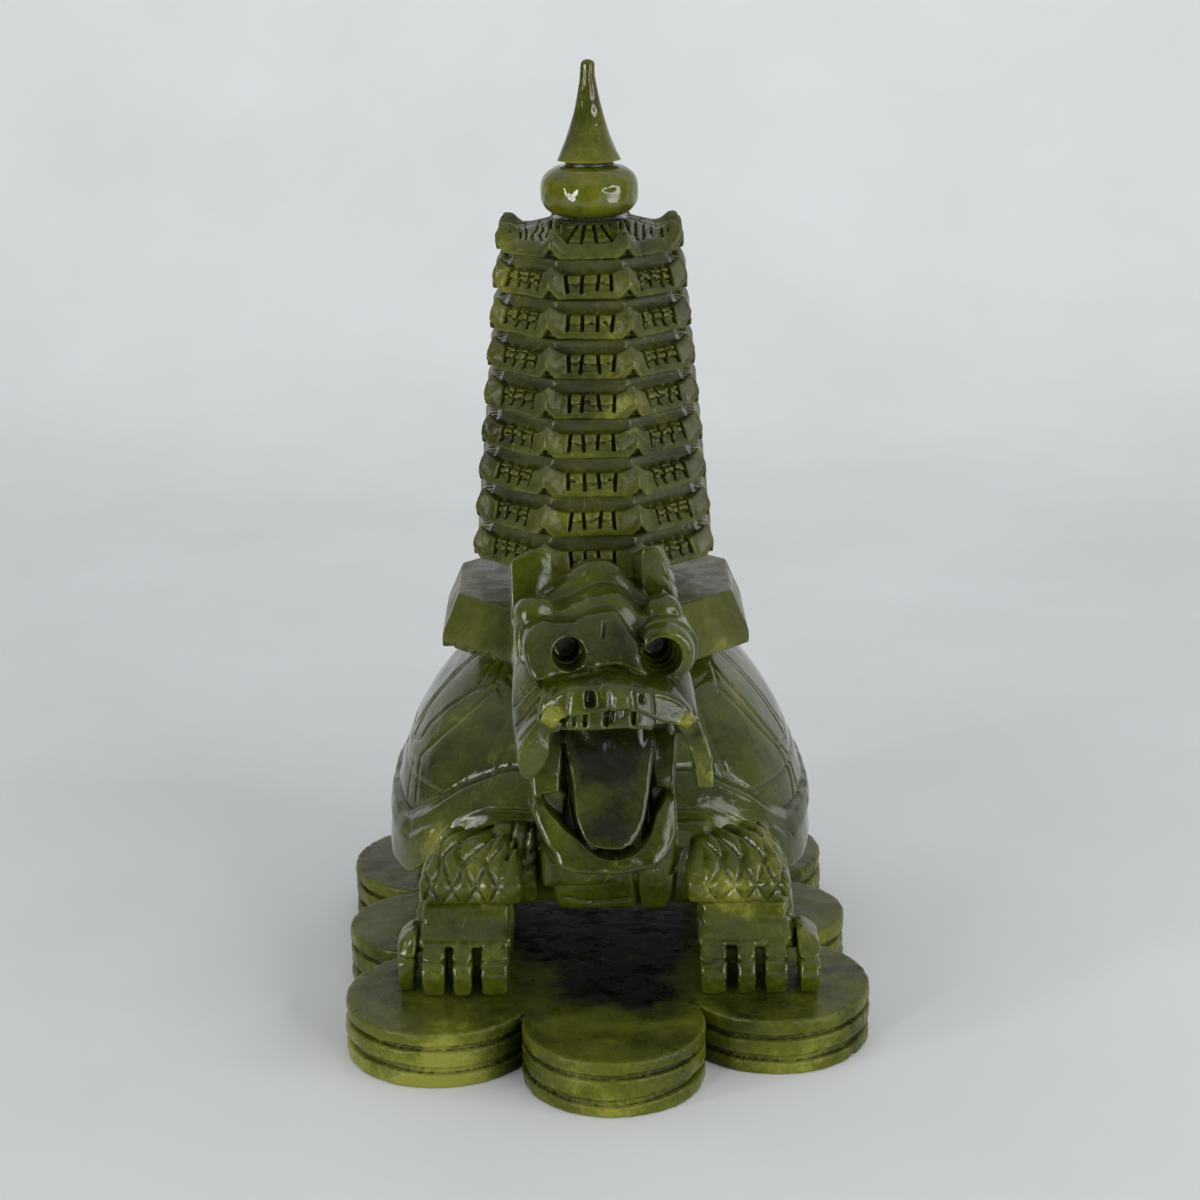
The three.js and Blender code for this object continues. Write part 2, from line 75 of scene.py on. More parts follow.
def add_camera():
    """The photograph's view: 75 mm on a 36 mm frame, a little above and to the left."""
    data = bpy.data.cameras.new("camera")
    data.sensor_width = 36
    data.lens = 75
    camera = bpy.data.objects.new("camera", data)
    bpy.context.scene.collection.objects.link(camera)
    right = (0.998, -0.0619, -0.0126)
    up = (0.0302, 0.2928, 0.9557)
    back = (-0.0555, -0.9542, 0.2941)
    turn = Matrix((right, up, back)).transposed()
    camera.matrix_world = Matrix.Translation((-0.0287, -0.5178, 0.2461)) @ turn.to_4x4()
    bpy.context.scene.camera = camera


add_camera()


def soft_max(fields, r):
    """Largest of some fields, with edges rounded by about r."""
    values = np.asarray(fields)
    top = values.max(axis=0)
    return top + r * np.log(np.exp((values - top) / r).sum(axis=0))


def join(a, b, r):
    """Smaller of two fields, so both bodies, with the seam rounded by r."""
    h = np.clip(0.5 + 0.5 * (b - a) / r, 0, 1)
    return b + (a - b) * h - r * h * (1 - h)


def cut(a, b, r):
    """The body a without b."""
    return -join(-a, b, r)


def overlap(*fields):
    """Largest of some fields, with sharp edges."""
    return np.maximum.reduce(fields)


def hull_planes(boxes):
    """Planes of the convex hull round boxes given as x0, x1, y0, y1, z0, z1."""
    bm = bmesh.new()
    for x0, x1, y0, y1, z0, z1 in boxes:
        for x in {x0, x1}:
            for y in {y0, y1}:
                for z in {z0, z1}:
                    bm.verts.new((x, y, z))
    bmesh.ops.convex_hull(bm, input=bm.verts)
    planes = []
    for face in bm.faces:
        n = face.normal
        if face.calc_area() < 1e-6:
            continue
        plane = (n.x, n.y, n.z, n.dot(face.verts[0].co))
        if not any(max(abs(a - b) for a, b in zip(plane, q)) < 1e-3 for q in planes):
            planes.append(plane)
    bm.free()
    return np.array(planes)


class Hull:
    """A convex body with rounded edges."""

    def __init__(self, boxes, r=0.4):
        self.planes = hull_planes(boxes)
        b = np.array(boxes, float)
        self.low = b[:, [0, 2, 4]].min(axis=0)
        self.high = b[:, [1, 3, 5]].max(axis=0)
        self.r = r

    def __call__(self, p):
        return soft_max(self.planes[:, :3] @ p.T - self.planes[:, 3:], self.r)


class Rod:
    """A round bar between two points, flat-ended, with its end radii."""

    def __init__(self, a, b, ra, rb=None, r=0.3):
        self.a = np.array(a, float)
        self.b = np.array(b, float)
        self.ra, self.rb = ra, ra if rb is None else rb
        reach = max(self.ra, self.rb)
        self.low = np.minimum(self.a, self.b) - reach
        self.high = np.maximum(self.a, self.b) + reach
        self.r = r

    def __call__(self, p):
        axis = self.b - self.a
        length = np.linalg.norm(axis)
        axis = axis / length
        t = (p - self.a) @ axis
        away = np.linalg.norm(p - self.a - t[:, None] * axis, axis=1)
        radius = self.ra + (self.rb - self.ra) * np.clip(t / length, 0, 1)
        return soft_max([away - radius, -t, t - length], self.r)


def box_gap(p, low, high):
    """Distance to a box, never more than the true one."""
    return np.maximum(low - p, p - high).max(axis=1)


def gather(p, bodies, reach=3.0):
    """Union of (body, rounding); a body is worked out only close to its box."""
    d = np.full(len(p), 50.0)
    for body, r in bodies:
        gap = box_gap(p, body.low, body.high)
        far = gap > reach
        d = np.where(far, np.minimum(d, np.maximum(gap, reach)), d)
        near = ~far
        if near.any():
            d[near] = join(d[near], body(p[near]), r)
    return d


def carve(d, p, bodies, reach=2.0):
    """Cut (body, rounding) out of a field."""
    for body, r in bodies:
        near = box_gap(p, body.low, body.high) < reach
        if near.any():
            d[near] = cut(d[near], body(p[near]), r)
    return d


def groove(d, away, width, depth):
    """Sink a rounded groove where away, the distance from its line, is small."""
    return d + depth * np.exp(-((away / width) ** 2) * 2.0)


def sample(field, points):
    out = np.empty(len(points), np.float32)
    for start in range(0, len(points), 120000):
        out[start : start + 120000] = field(points[start : start + 120000])
    return out


def surface(field, low, high, cell):
    """Vertices and quads of the surface where the field is 0, by surface nets."""
    low = np.array(low, float)
    step = 4
    count = np.ceil((np.array(high, float) - low) / (cell * step)).astype(int)
    grid = np.stack(np.meshgrid(*[np.arange(c) for c in count], indexing="ij"), -1).reshape(-1, 3)
    d = sample(field, low + (grid + 0.5) * step * cell)
    grid = grid[np.abs(d) < step * cell * 0.87 + 1.4 * cell + 0.5]
    size = count * step + 1
    values = np.full(size, np.nan, np.float32)
    kept = np.zeros(size, bool)
    cells = np.zeros(size, bool)
    base = grid * step
    for i in range(step + 1):
        for j in range(step + 1):
            for k in range(step + 1):
                at = (base[:, 0] + i, base[:, 1] + j, base[:, 2] + k)
                kept[at] = True
                if i < step and j < step and k < step:
                    cells[at] = True
    where = np.stack(np.nonzero(kept), -1)
    values[kept] = sample(field, low + where * cell)
    inside = values < 0
    corners = [(i, j, k) for i in (0, 1) for j in (0, 1) for k in (0, 1)]
    total = np.zeros(np.array(size) - 1, np.uint8)
    for i, j, k in corners:
        total += inside[i : size[0] - 1 + i, j : size[1] - 1 + j, k : size[2] - 1 + k]
    active = cells[:-1, :-1, :-1] & (total > 0) & (total < 8)
    cell_at = np.stack(np.nonzero(active), -1)
    number = np.full(active.shape, -1, np.int32)
    number[active] = np.arange(len(cell_at))
    v = {}
    for c in corners:
        at = cell_at + c
        v[c] = values[at[:, 0], at[:, 1], at[:, 2]]
    place = np.zeros((len(cell_at), 3))
    hits = np.zeros(len(cell_at))
    for a in corners:
        for axis in range(3):
            if a[axis]:
                continue
            b = tuple(1 if n == axis else a[n] for n in range(3))
            crossing = (v[a] < 0) != (v[b] < 0)
            t = np.where(crossing, v[a] / np.where(crossing, v[a] - v[b], 1), 0)
            for n in range(3):
                place[:, n] += np.where(crossing, t if n == axis else a[n], 0)
            hits += crossing
    points = low + (cell_at + place / hits[:, None]) * cell
    quads = []
    for axis in range(3):
        one, two = [n for n in range(3) if n != axis]
        first = [slice(1, s - 1) for s in size]
        second = [slice(1, s - 1) for s in size]
        first[axis] = slice(0, size[axis] - 1)
        second[axis] = slice(1, size[axis])
        a, b = inside[tuple(first)], inside[tuple(second)]
        at = np.stack(np.nonzero(a != b), -1)
        flip = b[at[:, 0], at[:, 1], at[:, 2]]
        at[:, one] += 1
        at[:, two] += 1
        ids = []
        for s, t in ((1, 1), (0, 1), (0, 0), (1, 0)):
            q = at.copy()
            q[:, one] -= s
            q[:, two] -= t
            ids.append(number[q[:, 0], q[:, 1], q[:, 2]])
        ids = np.stack(ids, -1)
        if axis == 1:
            flip = ~flip
        ids = np.where(flip[:, None], ids[:, ::-1], ids)
        quads.append(ids[(ids >= 0).all(axis=1)])
    return points, np.concatenate(quads)


def turned(p, degrees):
    """Points turned about the upright axis."""
    a = math.radians(degrees)
    c, s = math.cos(a), math.sin(a)
    return p @ np.array([[c, s, 0], [-s, c, 0], [0, 0, 1]])


def on_neck(p):
    """Points in the turtle's frame from points in the head's."""
    return turned(p - np.array(HEAD_PIVOT), HEAD_TURN) + HEAD_PIVOT


def on_row(place, head=False):
    """A place in the row's frame from one in the turtle's frame or in the head's."""
    p = np.array(place, float)
    if head:
        p = on_neck(p)
    return tuple(turned(p, TURTLE_TURN) + TURTLE_PLACE)


def add_mesh(name, points, faces, material, turn=0.0, place=(0, 0, 0), most=0):
    """A mesh object in metres from points in millimetres, thinned to at most so many triangles."""
    p = turned(points, turn) + np.array(place)
    mesh = bpy.data.meshes.new(name)
    mesh.vertices.add(len(p))
    mesh.vertices.foreach_set("co", (p * MM).astype(np.float32).ravel())
    width = faces.shape[1]
    mesh.loops.add(faces.size)
    mesh.loops.foreach_set("vertex_index", faces.astype(np.int32).ravel())
    mesh.polygons.add(len(faces))
    mesh.polygons.foreach_set("loop_start", np.arange(0, faces.size, width, dtype=np.int32))
    mesh.update(calc_edges=True)
    mesh.validate()
    piece = bpy.data.objects.new(name, mesh)
    bpy.context.scene.collection.objects.link(piece)
    mesh.materials.append(material)
    triangles = len(faces) * (width - 2)
    if most and triangles > most:
        thin = piece.modifiers.new("thin", "DECIMATE")
        thin.ratio = most / triangles
        settle(piece)
    mesh = piece.data
    mesh.polygons.foreach_set("use_smooth", np.ones(len(mesh.polygons), bool))
    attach(piece, "root")
    print(name, len(mesh.vertices), "points", len(mesh.polygons), "faces")
    return piece


def settle(piece):
    """Make a piece's mesh from what its modifiers give."""
    graph = bpy.context.evaluated_depsgraph_get()
    made = bpy.data.meshes.new_from_object(piece.evaluated_get(graph))
    old = piece.data
    piece.modifiers.clear()
    piece.data = made
    bpy.data.meshes.remove(old)


class Waves:
    """Smooth seeded noise between about -1 and 1, made of a few sine waves."""

    def __init__(self, seed, wavelength, count=7):
        rng = np.random.default_rng(seed)
        way = rng.normal(size=(count, 3))
        way /= np.linalg.norm(way, axis=1)[:, None]
        self.k = way * (2 * np.pi / wavelength) * rng.uniform(0.7, 1.4, (count, 1))
        self.phase = rng.uniform(0, 2 * np.pi, count)
        self.scale = 1.6 / math.sqrt(count)

    def __call__(self, p):
        return np.sin(p @ self.k.T + self.phase).sum(axis=1) * self.scale / 1.6


class Nodes:
    """Short ways to build a material's node tree."""

    def __init__(self, name):
        self.material = bpy.data.materials.new(name)
        self.material.use_nodes = True
        self.tree = self.material.node_tree
        self.tree.nodes.clear()
        self.place = self.add("ShaderNodeTexCoord").outputs["Object"]

    def add(self, kind, **values):
        node = self.tree.nodes.new(kind)
        for key, value in values.items():
            if key in node.inputs:
                node.inputs[key].default_value = value
            else:
                setattr(node, key, value)
        return node

    def link(self, a, b):
        self.tree.links.new(a, b)
        return b

    def noise(self, size, detail=3.0, roughness=0.55, stretch=(1, 1, 1), distortion=0.0, shift=0.0):
        """Noise about 0.5 whose lumps are about size millimetres across."""
        scale = self.add("ShaderNodeMapping")
        scale.inputs["Scale"].default_value = stretch
        scale.inputs["Location"].default_value = (shift, shift * 0.7, -shift)
        self.link(self.place, scale.inputs["Vector"])
        node = self.add("ShaderNodeTexNoise", Scale=1 / (size * MM), Detail=detail)
        node.inputs["Roughness"].default_value = roughness
        node.inputs["Distortion"].default_value = distortion
        self.link(scale.outputs["Vector"], node.inputs["Vector"])
        return node.outputs["Fac"]

    def math(self, operation, a, b=0.0, c=None, clamp=False):
        node = self.add("ShaderNodeMath", operation=operation, use_clamp=clamp)
        for socket, value in zip(node.inputs, (a, b, c)):
            if value is None:
                continue
            if isinstance(value, (int, float)):
                socket.default_value = value
            else:
                self.link(value, socket)
        return node.outputs[0]

    def steps(self, value, low, high, to_low=0.0, to_high=1.0):
        """Map low..high to to_low..to_high smoothly."""
        node = self.add("ShaderNodeMapRange", interpolation_type="SMOOTHSTEP")
        self.link(value, node.inputs["Value"])
        for end, at in zip(("From Min", "From Max", "To Min", "To Max"), (low, high, to_low, to_high)):
            node.inputs[end].default_value = at
        return node.outputs["Result"]

    def ramp(self, value, colours):
        node = self.add("ShaderNodeValToRGB")
        node.color_ramp.elements[0].position = colours[0][0]
        node.color_ramp.elements[0].color = (*linear(colours[0][1]), 1)
        node.color_ramp.elements[1].position = colours[-1][0]
        node.color_ramp.elements[1].color = (*linear(colours[-1][1]), 1)
        for at, colour in colours[1:-1]:
            node.color_ramp.elements.new(at).color = (*linear(colour), 1)
        self.link(value, node.inputs["Fac"])
        return node.outputs["Color"]

    def mix(self, amount, a, b, blend="MIX"):
        node = self.add("ShaderNodeMix", data_type="RGBA", blend_type=blend)
        sockets = [s for s in node.inputs if s.type == "RGBA"]
        for socket, value in zip(sockets, (a, b)):
            if isinstance(value, tuple):
                socket.default_value = (*linear(value), 1)
            else:
                self.link(value, socket)
        factor = next(s for s in node.inputs if s.name == "Factor" and s.type == "VALUE")
        if isinstance(amount, (int, float)):
            factor.default_value = amount
        else:
            self.link(amount, factor)
        return next(s for s in node.outputs if s.type == "RGBA")

    def finish(self, shader):
        """The material, with the shader on its surface."""
        output = self.add("ShaderNodeOutputMaterial")
        self.link(shader.outputs["BSDF"], output.inputs["Surface"])
        return self.material


def linear(colour):
    """Linear red, green and blue from the usual 0 to 255 screen values."""
    c = np.array(colour, float) / 255
    c = np.where(c <= 0.04045, c / 12.92, ((c + 0.055) / 1.055) ** 2.4)
    return tuple(float(v) for v in c)


def make_stone(name, tones, shift, polish, gloss, grain=1.0, patches_and_painted_light=(), painted_wall_reflection=False):
    """Polished green serpentine: cloudy, with dark clouds, pale veins and tool marks, painted shade in its
    hollows and, when asked, a painted reflection on the pagoda's walls.

    Each patch is a round part made paler or darker: x, y, z, its size, and how much paler it is. Some
    patches are the stone's own tone, others painted shade or painted light."""
    dark, middle, light, pale = tones
    n = Nodes(name)
    clouds = n.noise(19, 4, 0.55, shift=shift, distortion=0.5)
    mottle = n.noise(4.6, 4, 0.6, shift=shift + 3, distortion=0.4)
    specks = n.noise(0.9, 3, 0.6, shift=shift + 5)
    tone = n.math("MULTIPLY_ADD", clouds, 0.60, n.math("MULTIPLY", mottle, 0.22))
    tone = n.math("MULTIPLY_ADD", specks, 0.18, tone)
    tone = n.steps(tone, 0.22, 0.77)
    # Round patches shift the tone; some are the stone's own tone, others painted shade or painted light
    for x, y, z, size, amount in patches_and_painted_light:
        away = n.add("ShaderNodeVectorMath", operation="DISTANCE")
        n.link(n.place, away.inputs[0])
        away.inputs[1].default_value = (x * MM, y * MM, z * MM)
        near = n.steps(away.outputs["Value"], size * 0.55 * MM, size * 1.3 * MM, amount, 0.0)
        tone = n.math("ADD", tone, near)
    colour = n.ramp(tone, [(0.0, dark), (0.38, middle), (0.74, light), (1.0, pale)])
    if painted_wall_reflection:
        # Painted reflection: the sawn walls between the eaves are mixed toward grey in streaks, standing in
        # for the sky they reflect
        height = n.add("ShaderNodeSeparateXYZ")
        n.link(n.place, height.inputs[0])
        storey = n.math("SUBTRACT", height.outputs["Z"], (PAGODA_FLOOR + PAGODA_FOOT_HEIGHT) * MM)
        storey = n.math("FLOORED_MODULO", storey, STOREY_HEIGHT * MM)
        band = n.steps(storey, EAVE_TOP * MM, 5.6 * MM)
        streak = n.noise(0.5, 2, 0.5, stretch=(0.12, 0.12, 1), shift=shift + 30)
        band = n.math("MULTIPLY", band, n.steps(streak, 0.3, 0.7, 0.25, 0.8))
        # The grey of the painted sky reflection on the walls
        colour = n.mix(band, colour, (66, 69, 50))
    # Thin pale veins and small black inclusions
    vein = n.noise(26, 5, 0.6, shift=shift + 9, distortion=1.4)
    vein = n.math("ABSOLUTE", n.math("SUBTRACT", vein, 0.5))
    vein = n.steps(vein, 0.0, 0.016, 0.4, 0.0)
    vein = n.math("MULTIPLY", vein, n.steps(n.noise(12, 2, shift=shift + 12), 0.5, 0.66))
    colour = n.mix(vein, colour, pale)
    ink = n.noise(7.5, 4, 0.65, shift=shift + 15, distortion=0.8)
    ink = n.steps(ink, 0.64, 0.78)
    colour = n.mix(n.math("MULTIPLY", ink, 0.45), colour, dark)
    # Edges rubbed pale, found from the mesh's own curvature; from the same curvature, painted shade darkens
    # the hollows and makes them rougher
    bend = n.add("ShaderNodeNewGeometry").outputs["Pointiness"]
    worn = n.steps(bend, 0.51, 0.60)
    worn = n.math("MULTIPLY", worn, n.steps(n.noise(3.1, 3, shift=shift + 18), 0.3, 0.7, 0.1, 0.6))
    colour = n.mix(worn, colour, pale)
    # Painted shade: concave places are mixed toward the dark tone
    painted_hollow_shade = n.steps(bend, 0.49, 0.44, 0.0, 0.9)
    colour = n.mix(painted_hollow_shade, colour, dark)
    rough = n.steps(n.noise(6.0, 4, 0.6, shift=shift + 21), 0.3, 0.7, polish * 0.6, polish * 1.5)
    rough = n.math("ADD", rough, n.math("MULTIPLY", painted_hollow_shade, 0.3))
    scratch = n.noise(0.55, 2, 0.5, stretch=(1, 1, 5), shift=shift + 24)
    facet = n.noise(3.4, 2, 0.45, shift=shift + 27)
    bump = n.add("ShaderNodeBump", Strength=0.10 * grain, Distance=0.0003)
    n.link(scratch, bump.inputs["Height"])
    broad = n.add("ShaderNodeBump", Strength=0.16, Distance=0.001)
    n.link(facet, broad.inputs["Height"])
    n.link(bump.outputs["Normal"], broad.inputs["Normal"])
    shader = n.add("ShaderNodeBsdfPrincipled")
    n.link(colour, shader.inputs["Base Color"])
    n.link(rough, shader.inputs["Roughness"])
    n.link(broad.outputs["Normal"], shader.inputs["Normal"])
    shader.inputs["IOR"].default_value = 1.5
    shader.inputs["Specular IOR Level"].default_value = gloss
    return n.finish(shader)


# Tones of the stones, from dark to pale, and the patches of the turtle and the plate, some of which are
# painted shade and painted light
GREEN = ((18, 21, 4), (48, 54, 10), (70, 75, 16), (118, 117, 42))
PLATE_GREEN = ((7, 9, 3), (58, 62, 14), (88, 92, 24), (124, 126, 50))
PLINTH_GREEN = ((34, 38, 10), (60, 64, 15), (78, 81, 22), (116, 117, 50))
PAGODA_GREEN = ((16, 19, 5), (50, 54, 12), (74, 77, 18), (122, 120, 44))
FINIAL_GREEN = ((34, 38, 9), (72, 76, 15), (100, 101, 24), (134, 133, 52))
HEAD_TONES_AND_PAINTED_SHADE = [
    # Painted shade: the first, second and fourth darken the inside of the mouth and the breast under the
    # jaw. The rest are the stone's own tone: darker mask, crown and snout, paler knuckles, whiskers and nose
    # block.
    (0, -65, 57, 9, -0.55), (0, -68, 46, 9, -0.22), (-3, -67, 79, 9, -0.24), (0, -72, 33, 9, -0.08),
    (-12, -56, 84, 8, -0.26), (2, -52, 88, 9, -0.12), (0, -76, 73, 8, -0.12),
    (-12.4, -74.5, 66.4, 2.9, 0.6), (15.0, -74, 63.6, 2.8, 0.6), (-16.4, -72, 58, 5.0, 0.26),
    (18.4, -71, 55, 5.0, 0.26), (1.5, -75.5, 69, 2.6, 0.2),
]
BODY_TONES_AND_PAINTED_LIGHT = [
    # Painted shade on the breast under the head and painted light on the upper front arms; the last patch
    # makes the left front toes paler
    (0, -46, 24, 12, -0.3), (-27, -50, 25, 12, 0.36), (30, -50, 25, 12, 0.3), (-30, -63, 6, 9, 0.1),
]
PLATE_PAINTED_SHADOW_AND_LIGHT = [
    # Painted shadow on the plate's top under the turtle, between the front legs and beside the front feet,
    # and painted light on the plate's sides that face the front
    (1, -8, 12.6, 22, -1.0), (2, -32, 12.6, 14, -0.5), (10, -46, 12.6, 8, -0.3), (-8, -44, 12.6, 6, -0.3),
    (-48, -72, -12, 30, 0.75), (0, -88, -10, 26, 0.5), (-66, -30, -10, 24, 0.35), (50, -72, -12, 26, 0.2),
    (32, -52, 16, 10, -0.25), (-28, -60, 15, 7, -0.1),
]
turtle_tones_and_painted_light = [(*on_row(patch[:3], True), *patch[3:]) for patch in HEAD_TONES_AND_PAINTED_SHADE]
turtle_tones_and_painted_light += [(*on_row(patch[:3]), *patch[3:]) for patch in BODY_TONES_AND_PAINTED_LIGHT]
plate_stone = make_stone("mottled_plate_stone", PLATE_GREEN, 0.011, 0.3, 0.18, 1, PLATE_PAINTED_SHADOW_AND_LIGHT)
turtle_stone = make_stone("deep_green_stone", GREEN, 0.17, 0.08, 0.42, 1, turtle_tones_and_painted_light)
plinth_stone = make_stone("brushed_plinth_stone", PLINTH_GREEN, 0.29, 0.3, 0.28, 2)
pagoda_stone = make_stone("sawn_pagoda_stone", PAGODA_GREEN, 0.37, 0.2, 0.34, 2, painted_wall_reflection=True)
finial_stone = make_stone("waxed_finial_stone", FINIAL_GREEN, 0.43, 0.06, 0.45, 0.5)


# Base plate: eight lobes with two hand-sawn cuts round the edge
LOBES = np.array(
    [(0, -52.7, 18.9), (35.2, -36, 20.3), (39, 0, 16.6), (35.2, 36, 20.3)]
    + [(0, 52.7, 18.9), (-35.2, 36, 20.3), (-39, 0, 16.6), (-35.2, -36, 20.3)]
)
PLATE_MIDDLE = (37.5, 44)
# Height and half width of each cut
CUTS = ((3.75, 0.8), (8.45, 0.65))
# Places of the chips and their radii
PLATE_CHIPS = (
    (-54.9, -42.4, 12.7, 1.3),
    (-39.1, -56.9, 12.6, 1.0),
    (22.4, -60.9, 12.8, 0.9),
    (-56.0, -33.0, 12.6, 0.8),
    (50.6, -49.6, 0.2, 1.2),
)


def plate_edge(p):
    """Level distance to the lobed outline, and the number of the nearest lobe."""
    away = np.hypot(p[:, :1] - LOBES[:, 0], p[:, 1:2] - LOBES[:, 1]) - LOBES[:, 2]
    lobe = away.argmin(axis=1)
    middle = (np.abs(p[:, :2]) - PLATE_MIDDLE).max(axis=1)
    return np.minimum(away.min(axis=1), middle), lobe


plate_sway = Waves(3, 42)
plate_shake = Waves(4, 9)
plate_dents = Waves(5, 2.2)
lobe_tilt = np.random.default_rng(12).uniform(-0.35, 0.35, (8, 3))


def plate_field(p):
    edge, lobe = plate_edge(p)
    edge = edge + 0.10 * plate_shake(p) * (p[:, 2] < 11.5)
    d = soft_max([edge, p[:, 2] - PLATE_THICKNESS, -p[:, 2]], 0.22)
    near = edge > -4
    q, e, n, dn = p[near], edge[near], lobe[near], d[near]
    for number, (height, half) in enumerate(CUTS):
        z = height + 0.25 * plate_sway(q + 31 * number) + 0.07 * plate_shake(q - 17 * number)
        z = z + lobe_tilt[n, number] * 0.8
        slot = np.maximum(np.abs(q[:, 2] - z) - half, -(e + 1.15 + 0.2 * plate_sway(q)))
        dn = cut(dn, slot, 0.25)
    # The upright hollow where two lobes meet is worn and uneven
    dn = dn + 0.05 * plate_dents(q) * (e > -1.2)
    d[near] = dn
    for x, y, z, r in PLATE_CHIPS:
        away = np.linalg.norm((p - (x, y, z)) * (1, 1, 1.4), axis=1) - r
        d = cut(d, away + 0.25 * plate_dents(p * 1.7), 0.15)
    return d


def make_plate():
    points, quads = surface(plate_field, (-58, -74, -1), (58, 74, 13.4), 0.42)
    piece = add_mesh("lobed_base_plate", points, quads, plate_stone, most=130000)
    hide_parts("base_plate")


def around(p):
    """Face number of eight, distance out from the axis, and place along the face."""
    turn = np.arctan2(p[:, 1], p[:, 0]) + np.pi / 2
    face = np.round(turn / (np.pi / 4)).astype(int) % 8
    a = face * np.pi / 4 - np.pi / 2
    out = p[:, 0] * np.cos(a) + p[:, 1] * np.sin(a)
    along = -p[:, 0] * np.sin(a) + p[:, 1] * np.cos(a)
    return face, out, along


# From an octagon's corner radius to its half width
EIGHTH = math.cos(math.radians(22.5))
plinth_dents = Waves(21, 2.6, 9)
plinth_chips = Waves(22, 1.1, 9)
plinth_sway = Waves(23, 30)


def plinth_field(p):
    face, out, _ = around(p)
    z = p[:, 2]
    low, high = PLINTH_RADIUS * EIGHTH, PLINTH_TOP_RADIUS * EIGHTH
    lean = (low - high) / PLINTH_SLOPE
    slope = (out - low + (z - PLINTH_LIP) * lean) / math.hypot(1, lean)
    lip = out - low + 0.12 * plinth_sway(p)
    top = z - PLINTH_LIP - PLINTH_SLOPE
    d = soft_max([lip, slope + 0.06 * plinth_sway(p + 9), top, -z], 0.18)
    # The lip was broken off by hand along its lower edge, most of all at the front left
    broken = np.where(face == 7, 1.0, np.where(face == 0, 0.5, 0.12))
    bite = 1.3 + 0.35 * plinth_dents(p) + 0.3 * plinth_chips(p)
    edge = (low - out) * 0.75 + z * 0.9 - bite * broken
    rough = 0.16 * plinth_dents(p + 5) + 0.2 * plinth_chips(p + 3)
    return soft_max([d, -edge + rough * broken], 0.1)


def make_plinth():
    high = PLINTH_LIP + PLINTH_SLOPE
    points, quads = surface(plinth_field, (-38, -38, -0.8), (38, 38, high + 0.8), 0.36)
    place = (PAGODA_X, CARVING_Y, PLINTH_FLOOR)
    piece = add_mesh("octagon_plinth", points, quads, plinth_stone, PLINTH_TURN, place, most=80000)
    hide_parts("pagoda_plinth")


# The hand-sawn unevenness of the slots between the tiles, by storey, face and slot
rng = np.random.default_rng(77)
TILE_WIDTH = 3.2
SLOT_SHIFT = rng.uniform(-0.28, 0.28, (STOREYS, 8, 4))
SLOT_LEAN = rng.uniform(-0.09, 0.09, (STOREYS, 8, 4))
SLOT_FOOT = rng.uniform(1.0, 1.7, (STOREYS, 8, 4))
ROW_LINE = rng.uniform(2.6, 3.3, (STOREYS, 8, 4))
FACE_SHIFT = rng.uniform(-0.22, 0.22, (STOREYS, 8))
# How far an eave's corners rise, and how wide they are
CORNER_RISE, CORNER_WIDTH = 2.1, 3.9
# How far out the rows of tiles on the top roof are
TOP_ROWS = (10.8, 14.2, 17.2)
pagoda_sway = Waves(31, 16)
pagoda_dents = Waves(32, 1.9, 9)
pagoda_lines = Waves(33, 1.5, 6)


